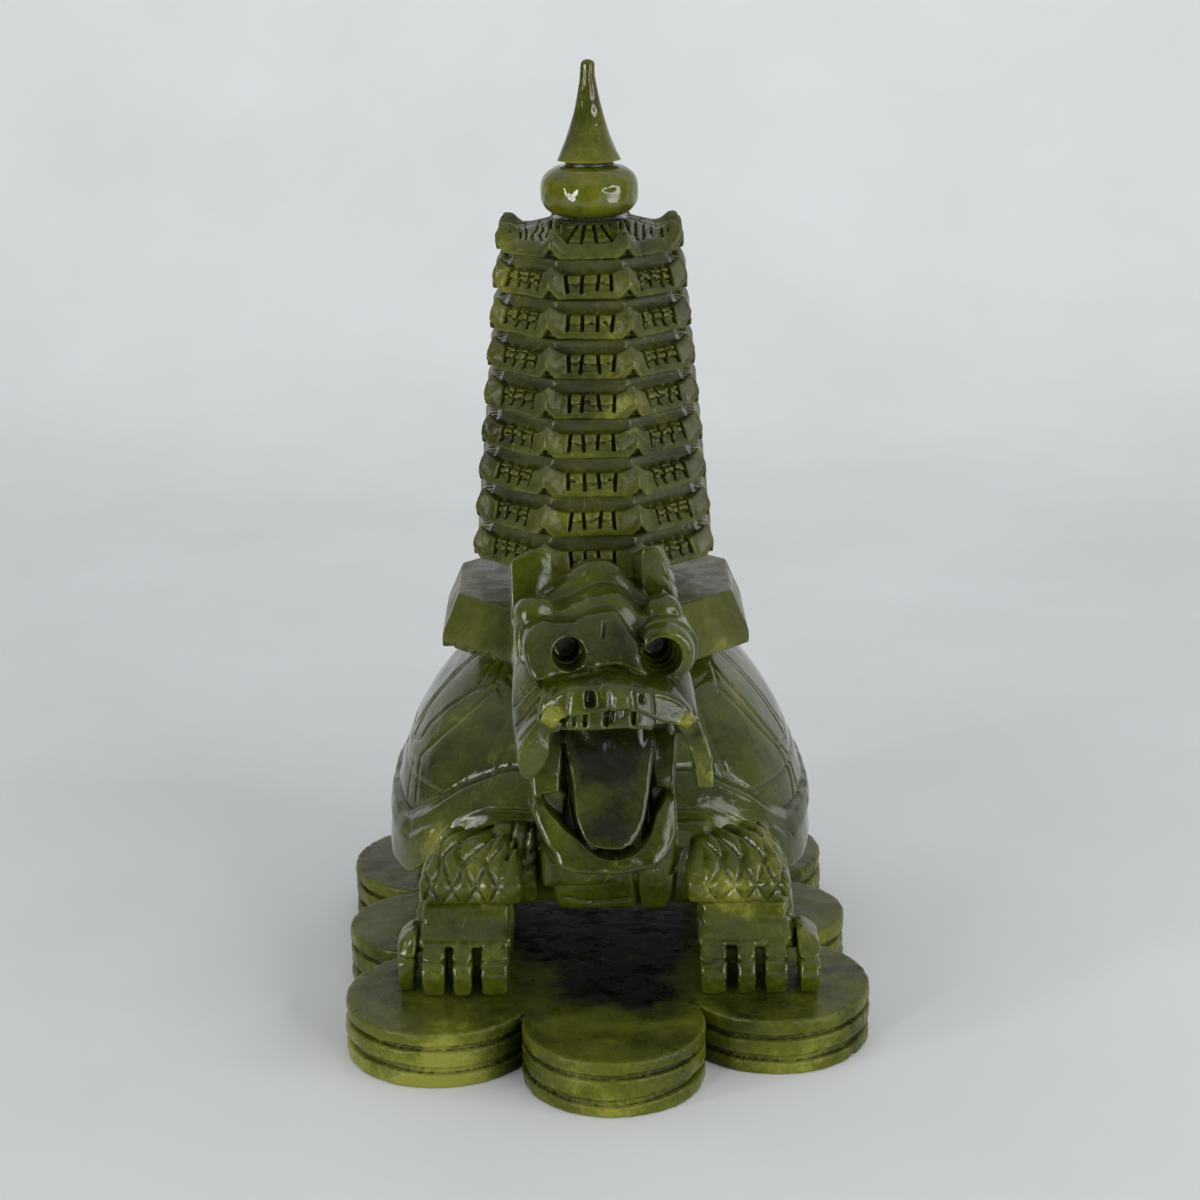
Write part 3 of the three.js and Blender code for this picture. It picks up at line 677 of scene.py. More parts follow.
def pagoda_field(p):
    face, out, along = around(p)
    z = p[:, 2]
    storey = np.floor((z - PAGODA_FOOT_HEIGHT + 0.7) / STOREY_HEIGHT)
    storey = np.clip(storey, 0, STOREYS - 1).astype(int)
    top_storey = storey == STOREYS - 1
    h = z - PAGODA_FOOT_HEIGHT - STOREY_HEIGHT * storey + 0.12 * pagoda_sway(p)
    reach = (EAVE_RADIUS - EAVE_STEP_IN * storey) * EIGHTH
    shift = FACE_SHIFT[storey, face] * np.clip(1 - np.abs(along) / 7, 0, 1)
    reach = reach + shift + 0.07 * pagoda_dents(p)
    # 1 at an eave's corner, 0 away from it
    corner = out * math.tan(math.radians(22.5)) - np.abs(along)
    corner = np.clip(1 - corner / CORNER_WIDTH, 0, 1)
    notch = np.clip(corner * CORNER_WIDTH - 1.9, 0, 2) * 1.05
    knee = 0.8 + 3.1 * corner
    horn = CORNER_RISE * corner**1.6
    top = np.where(top_storey, 2.9 + 3.6 * corner**2.2, EAVE_TOP + horn)
    inward = np.maximum(reach - 1.6 - out, 0)
    # The roof behind the eave's edge: hollow near the corners, rising to the wall
    roof = EAVE_TOP + horn * np.exp(-((inward / 1.5) ** 2)) + 0.05 * inward**1.5
    roof = roof - 0.5 * corner * np.exp(-(((inward - 2.6) / 1.3) ** 2))
    cone = 2.8 + 0.29 * np.maximum(reach - 1.2 - out, 0)
    flare = 3.9 * corner**2.2 * np.exp(-((inward / 2.6) ** 2))
    roof = np.where(top_storey, np.minimum(cone + flare, 7.2), roof)
    lean = 1.5 / (top - knee)
    slope = (out - reach + (h - knee) * lean) * 0.94
    eave = soft_max([out - reach, slope, notch - h, h - roof], 0.1)
    # Recessed wall above each eave, wider at its foot, with a thin saw cut on top
    wall = (EAVE_RADIUS - EAVE_STEP_IN * (storey + 1)) * EIGHTH - 3.7
    wall = wall + 1.5 * np.exp(-np.maximum(h - 4.8, 0) / 0.9) - 1.3 * (h > 7.75)
    wall = np.where(h < 0, (EAVE_RADIUS - EAVE_STEP_IN * storey) * EIGHTH - 5.0, wall)
    core = out - wall + 0.07 * pagoda_dents(p * (1, 1, 3)) + 0.13 * pagoda_lines(p * (0.1, 0.1, 1))
    core = soft_max([core, z - ROOF_TOP], 0.1)
    core = np.where(top_storey & (h > 3), 9.0, core)
    foot = out - PAGODA_FOOT_RADIUS * EIGHTH
    low_down = z < PAGODA_FOOT_HEIGHT
    d = np.where(low_down, foot, np.minimum(eave, core))
    d = np.where(low_down, np.minimum(d, soft_max([eave, z * 0 - 0.1], 0.1)), d)
    # Saw slots that part the tiles. The top roof has them on four of its faces
    near = (np.abs(along) < 2 * TILE_WIDTH) & (out > reach - 12) & (h > -0.5)
    if near.any():
        s, f, a, hh = storey[near], face[near], along[near], h[near]
        o, r, dn = out[near], reach[near], d[near]
        is_top = top_storey[near]
        diagonal = is_top & (f % 2 == 1)
        skin = np.where(is_top, cone[near], 99)
        inner = r - 1.5 * np.clip((hh - 0.8) / 4.1, 0, 1)
        for n in range(4):
            middle = (n - 1.5) * TILE_WIDTH + SLOT_SHIFT[s, f, n] + SLOT_LEAN[s, f, n] * (hh - 3) * 2
            squeeze = np.where(is_top, np.clip(o / 17, 0.55, 1.0), 1.0)
            side = np.abs(a - middle * squeeze) - 0.36
            depth = np.where(is_top, skin - 1.1 - hh, inner - 1.9 - o)
            stop = np.where(is_top, o - r + 2.2, SLOT_FOOT[s, f, n] - hh)
            dn = np.where(diagonal, dn, cut(dn, overlap(side, depth, stop), 0.12))
        # The ragged line between two rows of tiles. Every other face has a third row
        tile = np.clip(((a + 2 * TILE_WIDTH) / TILE_WIDTH).astype(int), 0, 3)
        wobble = pagoda_dents(p[near] * 0.8)
        lines = [(0, 0.25, 0.2, 1.0, is_top), (1.35, 0.2, 0.17, 0.8, is_top | (f % 2 == 0))]
        for up, sway, half, deep, plain in lines:
            line = np.abs(hh - ROW_LINE[s, f, tile] - up - sway * wobble) - half
            row = overlap(line, np.abs(a) - 5.0, inner - deep - o)
            dn = np.where(plain, dn, cut(dn, row, 0.08))
        # The lower row of tiles lies a little deeper than the upper one
        lower = soft_max([np.abs(a) - 4.7, hh - 2.9, 1.6 - hh, inner - 0.5 - o], 0.1)
        dn = np.where(is_top, dn, cut(dn, lower, 0.08))
        # The top roof has cross lines on four faces and slanted grooves on the others
        wobble = pagoda_dents(p[near] * 0.7)
        for place in TOP_ROWS:
            line = np.abs(o - place - 0.3 * wobble) - 0.2
            row = overlap(line, np.abs(a) - 4.6, skin - 0.45 - hh)
            dn = np.where(is_top & ~diagonal, cut(dn, row, 0.1), dn)
        side_sign = np.where((f == 1) | (f == 5), 1.0, -1.0)
        slant = np.mod(a * side_sign * 0.8 + o * 0.75 + 0.4 * pagoda_dents(p[near] * 0.5), 1.9)
        line = np.abs(slant - 0.95) - 0.2
        row = overlap(line, skin - 0.75 - hh, np.abs(a) - 2 * TILE_WIDTH, o - r + 2.0)
        d[near] = np.where(diagonal, cut(dn, row, 0.12), dn)
    return soft_max([d, -z, z - ROOF_TOP], 0.1)


def make_pagoda():
    points, quads = surface(pagoda_field, (-29.5, -29.5, -0.8), (29.5, 29.5, 83), 0.33)
    place = (PAGODA_X, CARVING_Y, PAGODA_FLOOR)
    piece = add_mesh("tiled_pagoda", points, quads, pagoda_stone, PAGODA_TURN, place, most=190000)
    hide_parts("pagoda")


BALL_RADIUS, BALL_HEIGHT = 10.6, 10.6
BALL_EQUATOR = BALL_HEIGHT * 0.47
# Heights and radii of the neck between the ball and the cone
NECK_RINGS = ((10.75, 5.6), (10.9, 5.3), (11.3, 5.25), (11.6, 5.4), (11.75, 6.1), (11.8, 6.5))
CONE_FLOOR, CONE_RADIUS, CONE_HEIGHT = 12.0, 6.9, 21.2
TIP_RADIUS, TIP_HEIGHT = 1.55, 1.12


def finial_profile():
    """Heights and radii of the ball, the neck and the round-tipped cone."""
    rings = [(0.0, 0.01)]
    for z in np.linspace(0, BALL_HEIGHT, 30):
        half, flat = (BALL_EQUATOR, 0.87) if z < BALL_EQUATOR else (BALL_HEIGHT - BALL_EQUATOR, 0.84)
        away = abs(z - BALL_EQUATOR) / half * flat
        rings.append((z, BALL_RADIUS * (1 - away**2.9) ** 0.46))
    rings += NECK_RINGS
    for t in np.linspace(0, 1, 44):
        z = CONE_FLOOR + (CONE_HEIGHT - TIP_HEIGHT - 0.1) * t - 0.1
        rings.append((z, TIP_RADIUS + (CONE_RADIUS - TIP_RADIUS) * (1 - t) ** 1.75))
    tip = rings[-1][0]
    for t in np.linspace(0.15, 1, 7):
        a = t * math.pi / 2
        rings.append((tip + TIP_HEIGHT * math.sin(a), max(TIP_RADIUS * math.cos(a), 0.01)))
    return np.array(rings).T


def make_finial():
    """Ball, neck and cone, turned by hand, so that no ring is quite round."""
    heights, radii = finial_profile()[:, :, None]
    sides = 128
    a = np.linspace(0, 2 * np.pi, sides, endpoint=False)
    p = np.stack([radii * np.cos(a), radii * np.sin(a), heights + 0 * a], -1).reshape(-1, 3)
    uneven = Waves(41, 9)(p) * 0.09 + Waves(42, 3)(p) * 0.03
    grow = 1 + uneven / np.maximum(np.hypot(p[:, 0], p[:, 1]), 1.5)
    p[:, :2] *= grow[:, None]
    ring = np.arange(sides)
    after = (ring + 1) % sides
    quads = []
    for n in range(len(heights) - 1):
        low, high = n * sides, (n + 1) * sides
        quads.append(np.stack([low + ring, low + after, high + after, high + ring], -1))
    place = (PAGODA_X, CARVING_Y, FINIAL_FLOOR)
    piece = add_mesh("turned_finial", p, np.concatenate(quads), finial_stone, 0, place)
    bm = bmesh.new()
    bm.from_mesh(piece.data)
    bmesh.ops.remove_doubles(bm, verts=bm.verts, dist=0.00004)
    bm.to_mesh(piece.data)
    bm.free()
    piece.data.set_sharp_from_angle(angle=math.radians(40))
    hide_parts("finial")


# The turtle, in its own frame: heights are from the soles of its feet
SHELL_WIDE, SHELL_FRONT, SHELL_REAR = 47.2, 50.0, 46.0
SHELL_WIDEST_Z, SHELL_RISE = 15.5, 52.0
RIM_Z = 18.0
DOME_POWER = 2.7


def add_turtle_mesh(name, points, quads):
    """A mesh from points in the turtle's frame."""
    return add_mesh(name, points, quads, turtle_stone, TURTLE_TURN, TURTLE_PLACE, most=186000)


def rim_height(p):
    """Height of the shell's lower rim, arched over the neck and, less, over the tail."""
    lift = np.where(p[:, 1] < 0, 14.4, 4.0)
    return RIM_Z + lift * np.sin(np.clip((41 - np.abs(p[:, 0])) / 25, 0, 1) * np.pi / 2)


def lip_height(p):
    """Height of the overhanging face above the rim, taller toward the front's corners."""
    corner = np.clip((np.abs(p[:, 0]) - 16) / 20, 0, 1.1) ** 1.5
    return np.where(p[:, 1] < 0, 2.8 + 3.4 * corner, 3.4)


def dome_gap(p):
    """Distance to the dome, an ellipsoid with fuller corners."""
    length = np.where(p[:, 1] < 0, SHELL_FRONT, SHELL_REAR)
    n = DOME_POWER
    x, y = np.abs(p[:, 0]) / SHELL_WIDE, np.abs(p[:, 1]) / length
    s = np.maximum(x**n + y**n, 1e-6)
    up = np.maximum(p[:, 2] - SHELL_WIDEST_Z, 0) / SHELL_RISE
    g = s ** (2 / n) + up**2 - 1
    slope = 2 * s ** (2 / n - 1)
    steep = np.sqrt(
        (slope * x ** (n - 1) / SHELL_WIDE) ** 2
        + (slope * y ** (n - 1) / length) ** 2
        + (2 * up / SHELL_RISE) ** 2
    )
    return g / np.maximum(steep, 0.012)


def margin_gap(p, grow, n):
    """Distance to the upright-sided band round the shell's foot."""
    up = np.clip((p[:, 2] - SHELL_WIDEST_Z) / SHELL_RISE, 0, 0.999)
    draw = np.sqrt(1 - up * up)
    wide = SHELL_WIDE * draw + grow
    length = np.where(p[:, 1] < 0, SHELL_FRONT, SHELL_REAR) * draw + grow
    x, y = np.abs(p[:, 0]) / wide, np.abs(p[:, 1]) / length
    s = np.maximum(x**n + y**n, 1e-6)
    steep = s ** (1 / n - 1) * np.hypot(x ** (n - 1) / wide, y ** (n - 1) / length)
    return (s ** (1 / n) - 1) / np.maximum(steep, 0.008) * 0.97


def on_shell(angle, z, margin=False):
    """A place on the dome or on the band round its foot, at an angle round the upright axis."""
    a = math.radians(angle)
    c, s = abs(math.cos(a)), abs(math.sin(a))
    draw = math.sqrt(max(1 - (max(z - SHELL_WIDEST_Z, 0) / SHELL_RISE) ** 2, 0.001))
    grow = 1.2 if margin else 0.0
    n = 3.3 if margin else DOME_POWER
    length = (SHELL_FRONT if math.sin(a) < 0 else SHELL_REAR) * draw + grow
    reach = ((c / (SHELL_WIDE * draw + grow)) ** n + (s / length) ** n) ** (-1 / n)
    return (reach * math.cos(a), reach * math.sin(a), z)


class Scratch:
    """A line cut into a surface along points in space."""

    def __init__(self, points, width=0.45, depth=0.5):
        points = np.array(points, float)
        parts = [points[:1]]
        for a, b in zip(points[:-1], points[1:]):
            count = max(int(np.linalg.norm(b - a) / 2.5), 1)
            parts.append(a + (b - a) * (np.arange(1, count + 1) / count)[:, None])
        self.points = np.concatenate(parts)
        self.low = self.points.min(axis=0) - 2.2
        self.high = self.points.max(axis=0) + 2.2
        self.width, self.depth = width, depth

    def __call__(self, d, p):
        near = np.abs(d) < 2.0
        near &= ((p > self.low) & (p < self.high)).all(axis=1)
        if not near.any():
            return d
        q = p[near]
        best = np.full(len(q), 99.0)
        for a, b in zip(self.points[:-1], self.points[1:]):
            way = b - a
            t = np.clip(((q - a) @ way) / (way @ way), 0, 1)
            gap = q - a - t[:, None] * way
            best = np.minimum(best, (gap**2).sum(axis=1))
        d[near] += self.depth * np.exp(-best / self.width**2)
        return d


def shell_line(places, width=0.42, depth=0.55, margin=False):
    """A shell line through (angle, height) places, laid on the curved surface."""
    fine = [places[0]]
    for a, b in zip(places[:-1], places[1:]):
        count = max(int(math.hypot((b[0] - a[0]) * 0.7, b[1] - a[1]) / 3), 1)
        for n in range(1, count + 1):
            t = n / count
            fine.append((a[0] + (b[0] - a[0]) * t, a[1] + (b[1] - a[1]) * t))
    return Scratch([on_shell(a, z, margin) for a, z in fine], width, depth)


SHELL_LINES = [
    # Front left: the double band that parts the front scute from the side scute
    shell_line([(-133, 58.5), (-134.7, 55.8), (-141, 53.4), (-147.5, 49.4), (-153.3, 44.8), (-154.5, 41.3)]),
    shell_line([(-130, 56), (-134.2, 51.9), (-141.1, 45.8), (-149.5, 39), (-146.3, 35.5), (-144, 31)]),
    shell_line([(-153.8, 36.9), (-151.6, 33.2), (-149.5, 29.5)]),
    shell_line([(-154.5, 41.3), (-160.6, 39.8), (-166.3, 38.6), (-171, 39.5)]),
    shell_line([(-153.8, 37.2), (-158.8, 36.4), (-166.3, 35.4), (-178, 35)]),
    shell_line([(-164, 58), (-166.5, 51.1), (-167.9, 46.7), (-168.5, 43), (-171, 39.5), (-180, 39)]),
    shell_line([(-160.5, 58.6), (-163.2, 52), (-164.4, 46), (-164.8, 42), (-162.8, 39)]),
    # Front left: the double band that runs down beside the neck
    shell_line([(-119.4, 55), (-121.4, 47.6), (-122.9, 39.5)]),
    shell_line([(-115.8, 54), (-117.2, 44.6), (-118.8, 40)]),
    shell_line([(-112, 50), (-114, 44.1), (-115.5, 40.5)], depth=0.4),
    shell_line([(-139.5, 55.6), (-142.5, 59.2)]),
    shell_line([(-132.6, 56.4), (-136.3, 59.6)]),
    shell_line([(-130.1, 56), (-119.5, 52.6)]),
    shell_line([(-128.2, 57.6), (-118, 55.4)]),
    # Front right
    shell_line(
        [(-32.6, 57.6), (-34.1, 54.2), (-32.2, 50.4), (-29.8, 45.3), (-25.4, 39), (-22, 35.6), (-10, 35)]
    ),
    shell_line([(-40.5, 54.4), (-37.3, 49.7), (-34.2, 45.1), (-28.4, 39.6), (-27.3, 33.8), (-29.3, 28.6)]),
    shell_line([(-23.7, 35.6), (-23.9, 31), (-23.4, 25.6)]),
    shell_line([(-25.4, 39.4), (-17, 38.6), (-9.6, 39), (0, 39)]),
    shell_line([(-13, 58), (-12.4, 50), (-11.5, 44), (-9.6, 39)]),
    shell_line([(-17.2, 58), (-16.4, 50), (-15.6, 44), (-16.5, 39)]),
    shell_line([(-56.8, 54), (-57.5, 47), (-58, 40.5)]),
    shell_line([(-53.4, 54), (-54.6, 46.5), (-54.4, 39)]),
    shell_line([(-32.6, 57.6), (-38, 55.4), (-42.5, 53.2), (-53, 52.4)]),
    shell_line([(-40, 56.8), (-53, 55.6)]),
    # Sides and back, in keeping
    shell_line([(180, 39), (168, 39.4), (157, 40), (150, 42), (146, 50), (144, 58)]),
    shell_line([(-178, 35), (170, 35.6), (158, 36.4), (150, 36), (148, 29)]),
    shell_line([(154, 40.4), (150.5, 50), (148.5, 58)]),
    shell_line([(152, 36.4), (144, 38), (141, 42), (138, 52), (137, 58)], depth=0.45),
    shell_line([(144, 38), (142.5, 30)]),
    shell_line([(0, 39), (14, 39.4), (24, 40), (31, 42), (35, 50), (37, 58)]),
    shell_line([(-10, 35), (10, 35.6), (22, 36.4), (30, 36), (32, 29)]),
    shell_line([(27, 40.4), (30.5, 50), (32.5, 58)]),
    shell_line([(29, 36.4), (36, 38), (39, 42), (42, 52), (43, 58)], depth=0.45),
    shell_line([(36, 38), (37.5, 30)]),
    *[shell_line([(a, 30), (a - 3, 42), (a - 5, 55)]) for a in (120, 116)],
    *[shell_line([(a, 30), (a + 3, 42), (a + 5, 55)]) for a in (60, 64)],
    shell_line([(111, 54), (90, 53.5), (69, 54)]),
    shell_line([(112, 50.6), (90, 50), (68, 50.6)]),
]


def margin_lines():
    """Groups of two or three short upright lines that part the marginal scutes."""
    rng = np.random.default_rng(8)
    lines = []
    measured = [
        [(-129.0, 36.6), (-129.0, 33.2), (-129.4, 28.6)],
        [(-127.6, 37), (-127.4, 33.5), (-127.7, 30.4)],
        [(-126.0, 37.2), (-125.9, 33.7), (-125.9, 31.2)],
        [(-48.7, 36.4), (-48.2, 31.9), (-47.9, 28.8)],
        [(-45.7, 35), (-44.8, 30.2), (-42.8, 25.6)],
        [(-42.5, 33.4), (-41.8, 29.3), (-40.3, 24.6)],
    ]
    for places in measured:
        lines.append(shell_line(places, 0.4, 0.5, True))
    for angle in (-158, -171, 176, 163, 148, 131, 108, 89, 71, 50, 33, 17, 4, -9, -22, -90):
        for n in range(3 if angle % 2 else 2):
            a = angle + (n - 1) * 1.6 + rng.uniform(-0.2, 0.2)
            place = np.array([on_shell(a, 24, True)])
            rim = float(rim_height(place)[0])
            low = rim + float(lip_height(place)[0]) + rng.uniform(0.1, 0.6)
            high = rim + 10.2
            if high > low + 2:
                lean = rng.uniform(-0.8, 0.8)
                lines.append(shell_line([(a, high), (a + lean, low)], 0.4, 0.45, True))
    return lines


MARGIN_LINES = margin_lines()
shell_sway = Waves(51, 34)
shell_facets = Waves(52, 9, 9)


def shell_field(p):
    rim = rim_height(p) + 0.22 * shell_facets(p * (1, 1, 0))
    foot = rim + 10.3
    lip = rim + lip_height(p)
    z = p[:, 2]
    sway = 0.22 * shell_sway(p) + 0.07 * shell_facets(p)
    dome = soft_max([dome_gap(p) + sway, z - SHELL_TOP_Z, foot - 1.5 - z], 0.25)
    n = 3.8 - 0.8 * np.clip((z - rim) / 9, 0, 1)
    band = margin_gap(p, 1.05, n) + sway
    band = soft_max([band, (z - foot + 0.2) * 0.8, (lip - z) * 0.8], 0.22)
    face = margin_gap(p, 0.1, np.full(len(p), 3.8)) + 0.8 * sway
    face = soft_max([face, z - lip - 1, (rim - z) * 0.8], 0.3)
    d = join(join(dome, band, 0.15), face, 0.25)
    d = np.where(np.abs(d) < 2, groove(d, z - foot + 0.1, 0.5, 0.35), d)
    for line in SHELL_LINES + MARGIN_LINES:
        d = line(d, p)
    return d


def make_shell():
    points, quads = surface(shell_field, (-50, -53, 16), (50, 49, 62.5), 0.4)
    piece = add_turtle_mesh("engraved_shell", points, quads)
    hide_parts("dragon_turtle")


def side_boxes(side, shift, boxes):
    """Boxes of the right side, or their mirror on the left, moved sideways."""
    out = []
    for x0, x1, y0, y1, z0, z1 in boxes:
        a, b = (x0, x1) if side > 0 else (-x1, -x0)
        out.append((a + shift, b + shift, y0, y1, z0, z1))
    return out


def toe_boxes(x0, x1, toe_y, back_y):
    return [
        (x0 + 0.2, x1 - 0.2, toe_y + 6.5, back_y, 10.4, 11.4),
        (x0, x1, toe_y + 3.4, back_y, 9.4, 10.2),
        (x0, x1, toe_y + 1.0, back_y, 6.9, 7.3),
        (x0, x1, toe_y, back_y, 3.6, 5.4),
        (x0 + 0.3, x1 - 0.3, toe_y + 0.7, back_y, 0, 1.4),
    ]


class Leg:
    """One leg: scaled upper arm, brushed wrist and four square toes."""

    def __init__(self, side, shift, toe_y, back_y, top_z, toes, seed):
        self.side, self.shift = side, shift
        self.toe_y = toe_y
        wrist_y = toe_y + 9
        arm = [
            (17.2, 38.6, wrist_y - 1, back_y, 17.4, 18.2),
            (16.8, 39.2, wrist_y - 2.2, back_y, 20.5, 22.5),
            (17.6, 37.6, wrist_y + 0.6, back_y, top_z - 5, top_z - 4),
            (19.0, 33.5, wrist_y + 4.5, back_y, top_z, top_z + 1.5),
        ]
        self.arm = Hull(side_boxes(side, shift, arm), 0.55)
        wrist = [
            (19.8, 38.9, wrist_y, back_y, 8, 17.6),
            (19.8, 41.0, wrist_y + 3.5, back_y, 5, 9),
            (19.8, 39.6, wrist_y + 3.5, back_y, 14, 17.6),
            (19.4, 39.4, toe_y + 4.0, back_y, 9.6, 11.2),
        ]
        self.wrist = Hull(side_boxes(side, shift, wrist), 0.3)
        self.toes = []
        for n, (x0, x1) in enumerate(toes):
            forward = toe_y + (2.6 if n == 3 and side < 0 else 0.0)
            boxes = toe_boxes(x0, x1, forward, wrist_y + 4)
            if n == 3:
                boxes[0] = (x0 - 0.6, x1 - 2.6, toe_y + 5, wrist_y + 4, 11.4, 12.6)
            self.toes.append(Hull(side_boxes(side, 0, boxes), 0.3))
        self.low = np.array([-48, toe_y - 1, 0]) if side < 0 else np.array([15, toe_y - 1, 0])
        self.high = self.low + (33, back_y - toe_y + 2, top_z + 2)
        self.warp = Waves(seed, 11)
        self.brush = Waves(seed + 1, 2.6, 9)

    def __call__(self, p):
        inside = self.side * (p[:, 0] - self.shift)
        y, z = p[:, 1] - self.toe_y, p[:, 2]
        arm = self.arm(p)
        near = np.abs(arm) < 2.2
        if near.any():
            q = p[near]
            s = inside[near] + np.clip(y[near] - 11, 0, 40) + 0.55 * self.warp(q)
            lift = q[:, 2] + 0.4 * self.warp(q + 7)
            one = (s - 0.56 * lift) / 4.9
            two = (s + 0.56 * lift) / 4.9
            a = np.abs(one - np.round(one)) * 4.9 * 0.87
            b = np.abs(two - np.round(two)) * 4.9 * 0.87
            scale = np.clip(a / 2.1, 0, 1) * np.clip(b / 2.1, 0, 1)
            grow = 0.5 * np.sqrt(scale) - 0.55 * np.exp(-((np.minimum(a, b) / 0.5) ** 2) * 2)
            fade = np.clip((inside[near] - 20) / 2.5, 0, 1) * np.clip((z[near] - 17.6) / 1.2, 0, 1)
            arm[near] -= grow * fade
        wrist = self.wrist(p)
        near = np.abs(wrist) < 2
        if near.any():
            hollow = 0.9 * np.sin(np.clip((z[near] - 11.2) / 6.6, 0, 1) * np.pi) ** 0.8
            stroke = self.brush(p[near] * (0.18, 0.18, 1.0))
            wrist[near] += hollow * (y[near] < 12) + 0.15 * stroke
        d = join(arm, wrist, 0.25)
        for toe in self.toes:
            gap = toe(p)
            near = np.abs(gap) < 1.5
            if near.any():
                q = p[near]
                joint = np.abs(q[:, 2] - 7.3 - 0.25 * self.warp(q * 2))
                gap[near] += 0.6 * np.exp(-((joint / 0.36) ** 2) * 1.6) * (y[near] < 5.5)
                gap[near] += 0.06 * self.brush(q * (1, 1, 1.6))
            d = join(d, gap, 0.2)
        return soft_max([d, -z], 0.15)


# Where the lens looks along, in the head's frame; short cuts show as lines from there
SIGHT = np.array([0.122, 0.948, -0.294])
SIGHT /= np.linalg.norm(SIGHT)


class Blade:
    """Straight cuts into whatever surface faces the lens between two points."""

    def __init__(self, a, b, width=0.3, depth=0.45, reach=3.5):
        a, b = np.array(a, float), np.array(b, float)
        self.a, self.width, self.depth = a, width, depth
        self.way = (b - a) - SIGHT * ((b - a) @ SIGHT)
        self.low = np.minimum(a, b) - (1, reach, 1.2)
        self.high = np.maximum(a, b) + (1, reach, 1.2)

    def __call__(self, d, p):
        near = np.abs(d) < 1.6
        near &= ((p > self.low) & (p < self.high)).all(axis=1)
        if near.any():
            q = p[near] - self.a
            q = q - (q @ SIGHT)[:, None] * SIGHT
            t = np.clip((q @ self.way) / (self.way @ self.way), 0, 1)
            gap = ((q - t[:, None] * self.way) ** 2).sum(axis=1)
            d[near] += self.depth * np.exp(-gap / self.width**2)
        return d


def chain(points, width, depth):
    """Cuts from each point to the next."""
    return [Blade(a, b, width, depth) for a, b in zip(points[:-1], points[1:])]


# From each toe's inner side to its outer side, from the inner toe outward
FRONT_TOES_LEFT = ((18.8, 24.7), (26.3, 30.7), (32.0, 37.2), (38.4, 42.4))
FRONT_TOES_RIGHT = ((21.3, 27.1), (29.0, 33.2), (34.8, 39.9), (42.0, 46.6))
HIND_TOES = ((19.8, 25.0), (26.6, 31.0), (32.6, 37.4), (39.0, 44.0))
LEGS = [
    Leg(-1, 1.5, -64, -42, 29.4, FRONT_TOES_LEFT, 61),
    Leg(1, 1.5, -64, -42, 29.4, FRONT_TOES_RIGHT, 63),
    Leg(-1, 0, 8, 29, 23, HIND_TOES, 65),
    Leg(1, 0, 8, 29, 23, HIND_TOES, 67),
]
BELLY = Hull([(-30, 30, -47, 33, 13.9, 14.9), (-36, 36, -40, 33, 18, 28)], 0.8)
CHEST = Hull([(-8.2, 14.8, -50.5, -40, 13.9, 14.9), (-9.7, 16.3, -51.5, -40, 19, 32.4)], 0.4)
FLANK = Hull([(-20, 22, -46, -40, 14.2, 15), (-21, 23, -47, -40, 18, 31)], 0.5)
# The parts between the breast and each arm
INNER_LEFT = Hull(
    [(-22, -12.6, -48.6, -40, 14.2, 15), (-22, -12.0, -50.2, -40, 20, 22)]
    + [(-22, -13.4, -49.4, -40, 30, 33)],
    0.7,
)
INNER_RIGHT = Hull(
    [(12, 24, -48.8, -40, 14.2, 15), (12, 24, -50.4, -40, 20, 22), (12, 24, -49.4, -40, 30, 33)],
    0.7,
)
TAIL = Hull([(-6, 6, 34, 40, 17.9, 26), (-3, 3, 44, 46, 13.2, 17.9)], 0.6)
TORSO = [
    (BELLY, 0.5), (CHEST, 0.4), (FLANK, 0.6), (TAIL, 0.8), (INNER_LEFT, 0.3), (INNER_RIGHT, 0.9),
]
body_dents = Waves(71, 3.2, 9)
CHEST_LINES = [
    # A slit on the right of the breast plate, and a bent line near its lower edge
    Blade((8.6, -51, 14), (8.0, -51.5, 22), 0.5, 1.5, 4),
    *chain([(-6.6, -51, 17.2), (-1.2, -51, 16.0), (6.8, -51, 16.8)], 0.3, 0.5),
    # Hair lines where the arms meet the neck
    Blade((-14.2, -50, 27), (-12.8, -50, 28.6), 0.28, 0.6),
    Blade((-15.0, -50, 23.2), (-12.6, -50, 25.2), 0.3, 0.6),
    Blade((-14.4, -50, 34), (-16.0, -50, 26), 0.36, 0.8),
    Blade((-17.4, -50, 28.6), (-21.6, -50, 19.6), 0.34, 0.7),
    Blade((-17.8, -50, 33.4), (-18.6, -50, 26), 0.3, 0.5),
    Blade((12.4, -50, 23), (13.2, -50, 27), 0.3, 0.5),
    Blade((15.6, -50, 22), (17.6, -50, 27.4), 0.3, 0.5),
    Blade((20.6, -50, 20), (23.2, -50, 26), 0.34, 0.7),
]


def body_field(p):
    d = gather(p, TORSO)
    for leg in LEGS:
        gap = box_gap(p, leg.low, leg.high)
        near = gap < 3
        d = np.where(near, d, np.minimum(d, np.maximum(gap, 3)))
        if near.any():
            d[near] = join(d[near], leg(p[near]), 0.5)
    for line in CHEST_LINES:
        d = line(d, p)
    return d + 0.05 * body_dents(p)


def make_body():
    points, quads = surface(body_field, (-48, -66, -0.8), (50, 48, 36), 0.36)
    piece = add_turtle_mesh("scaled_legs_and_chest", points, quads)
    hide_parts("dragon_turtle")


def rounded(outline, times=1):
    """Cut the corners of a closed outline, so that it runs smoothly."""
    for _ in range(times):
        after = np.roll(outline, -1, axis=0)
        outline = np.stack([outline * 0.78 + after * 0.22, outline * 0.22 + after * 0.78], 1)
        outline = outline.reshape(-1, 2)
    return outline


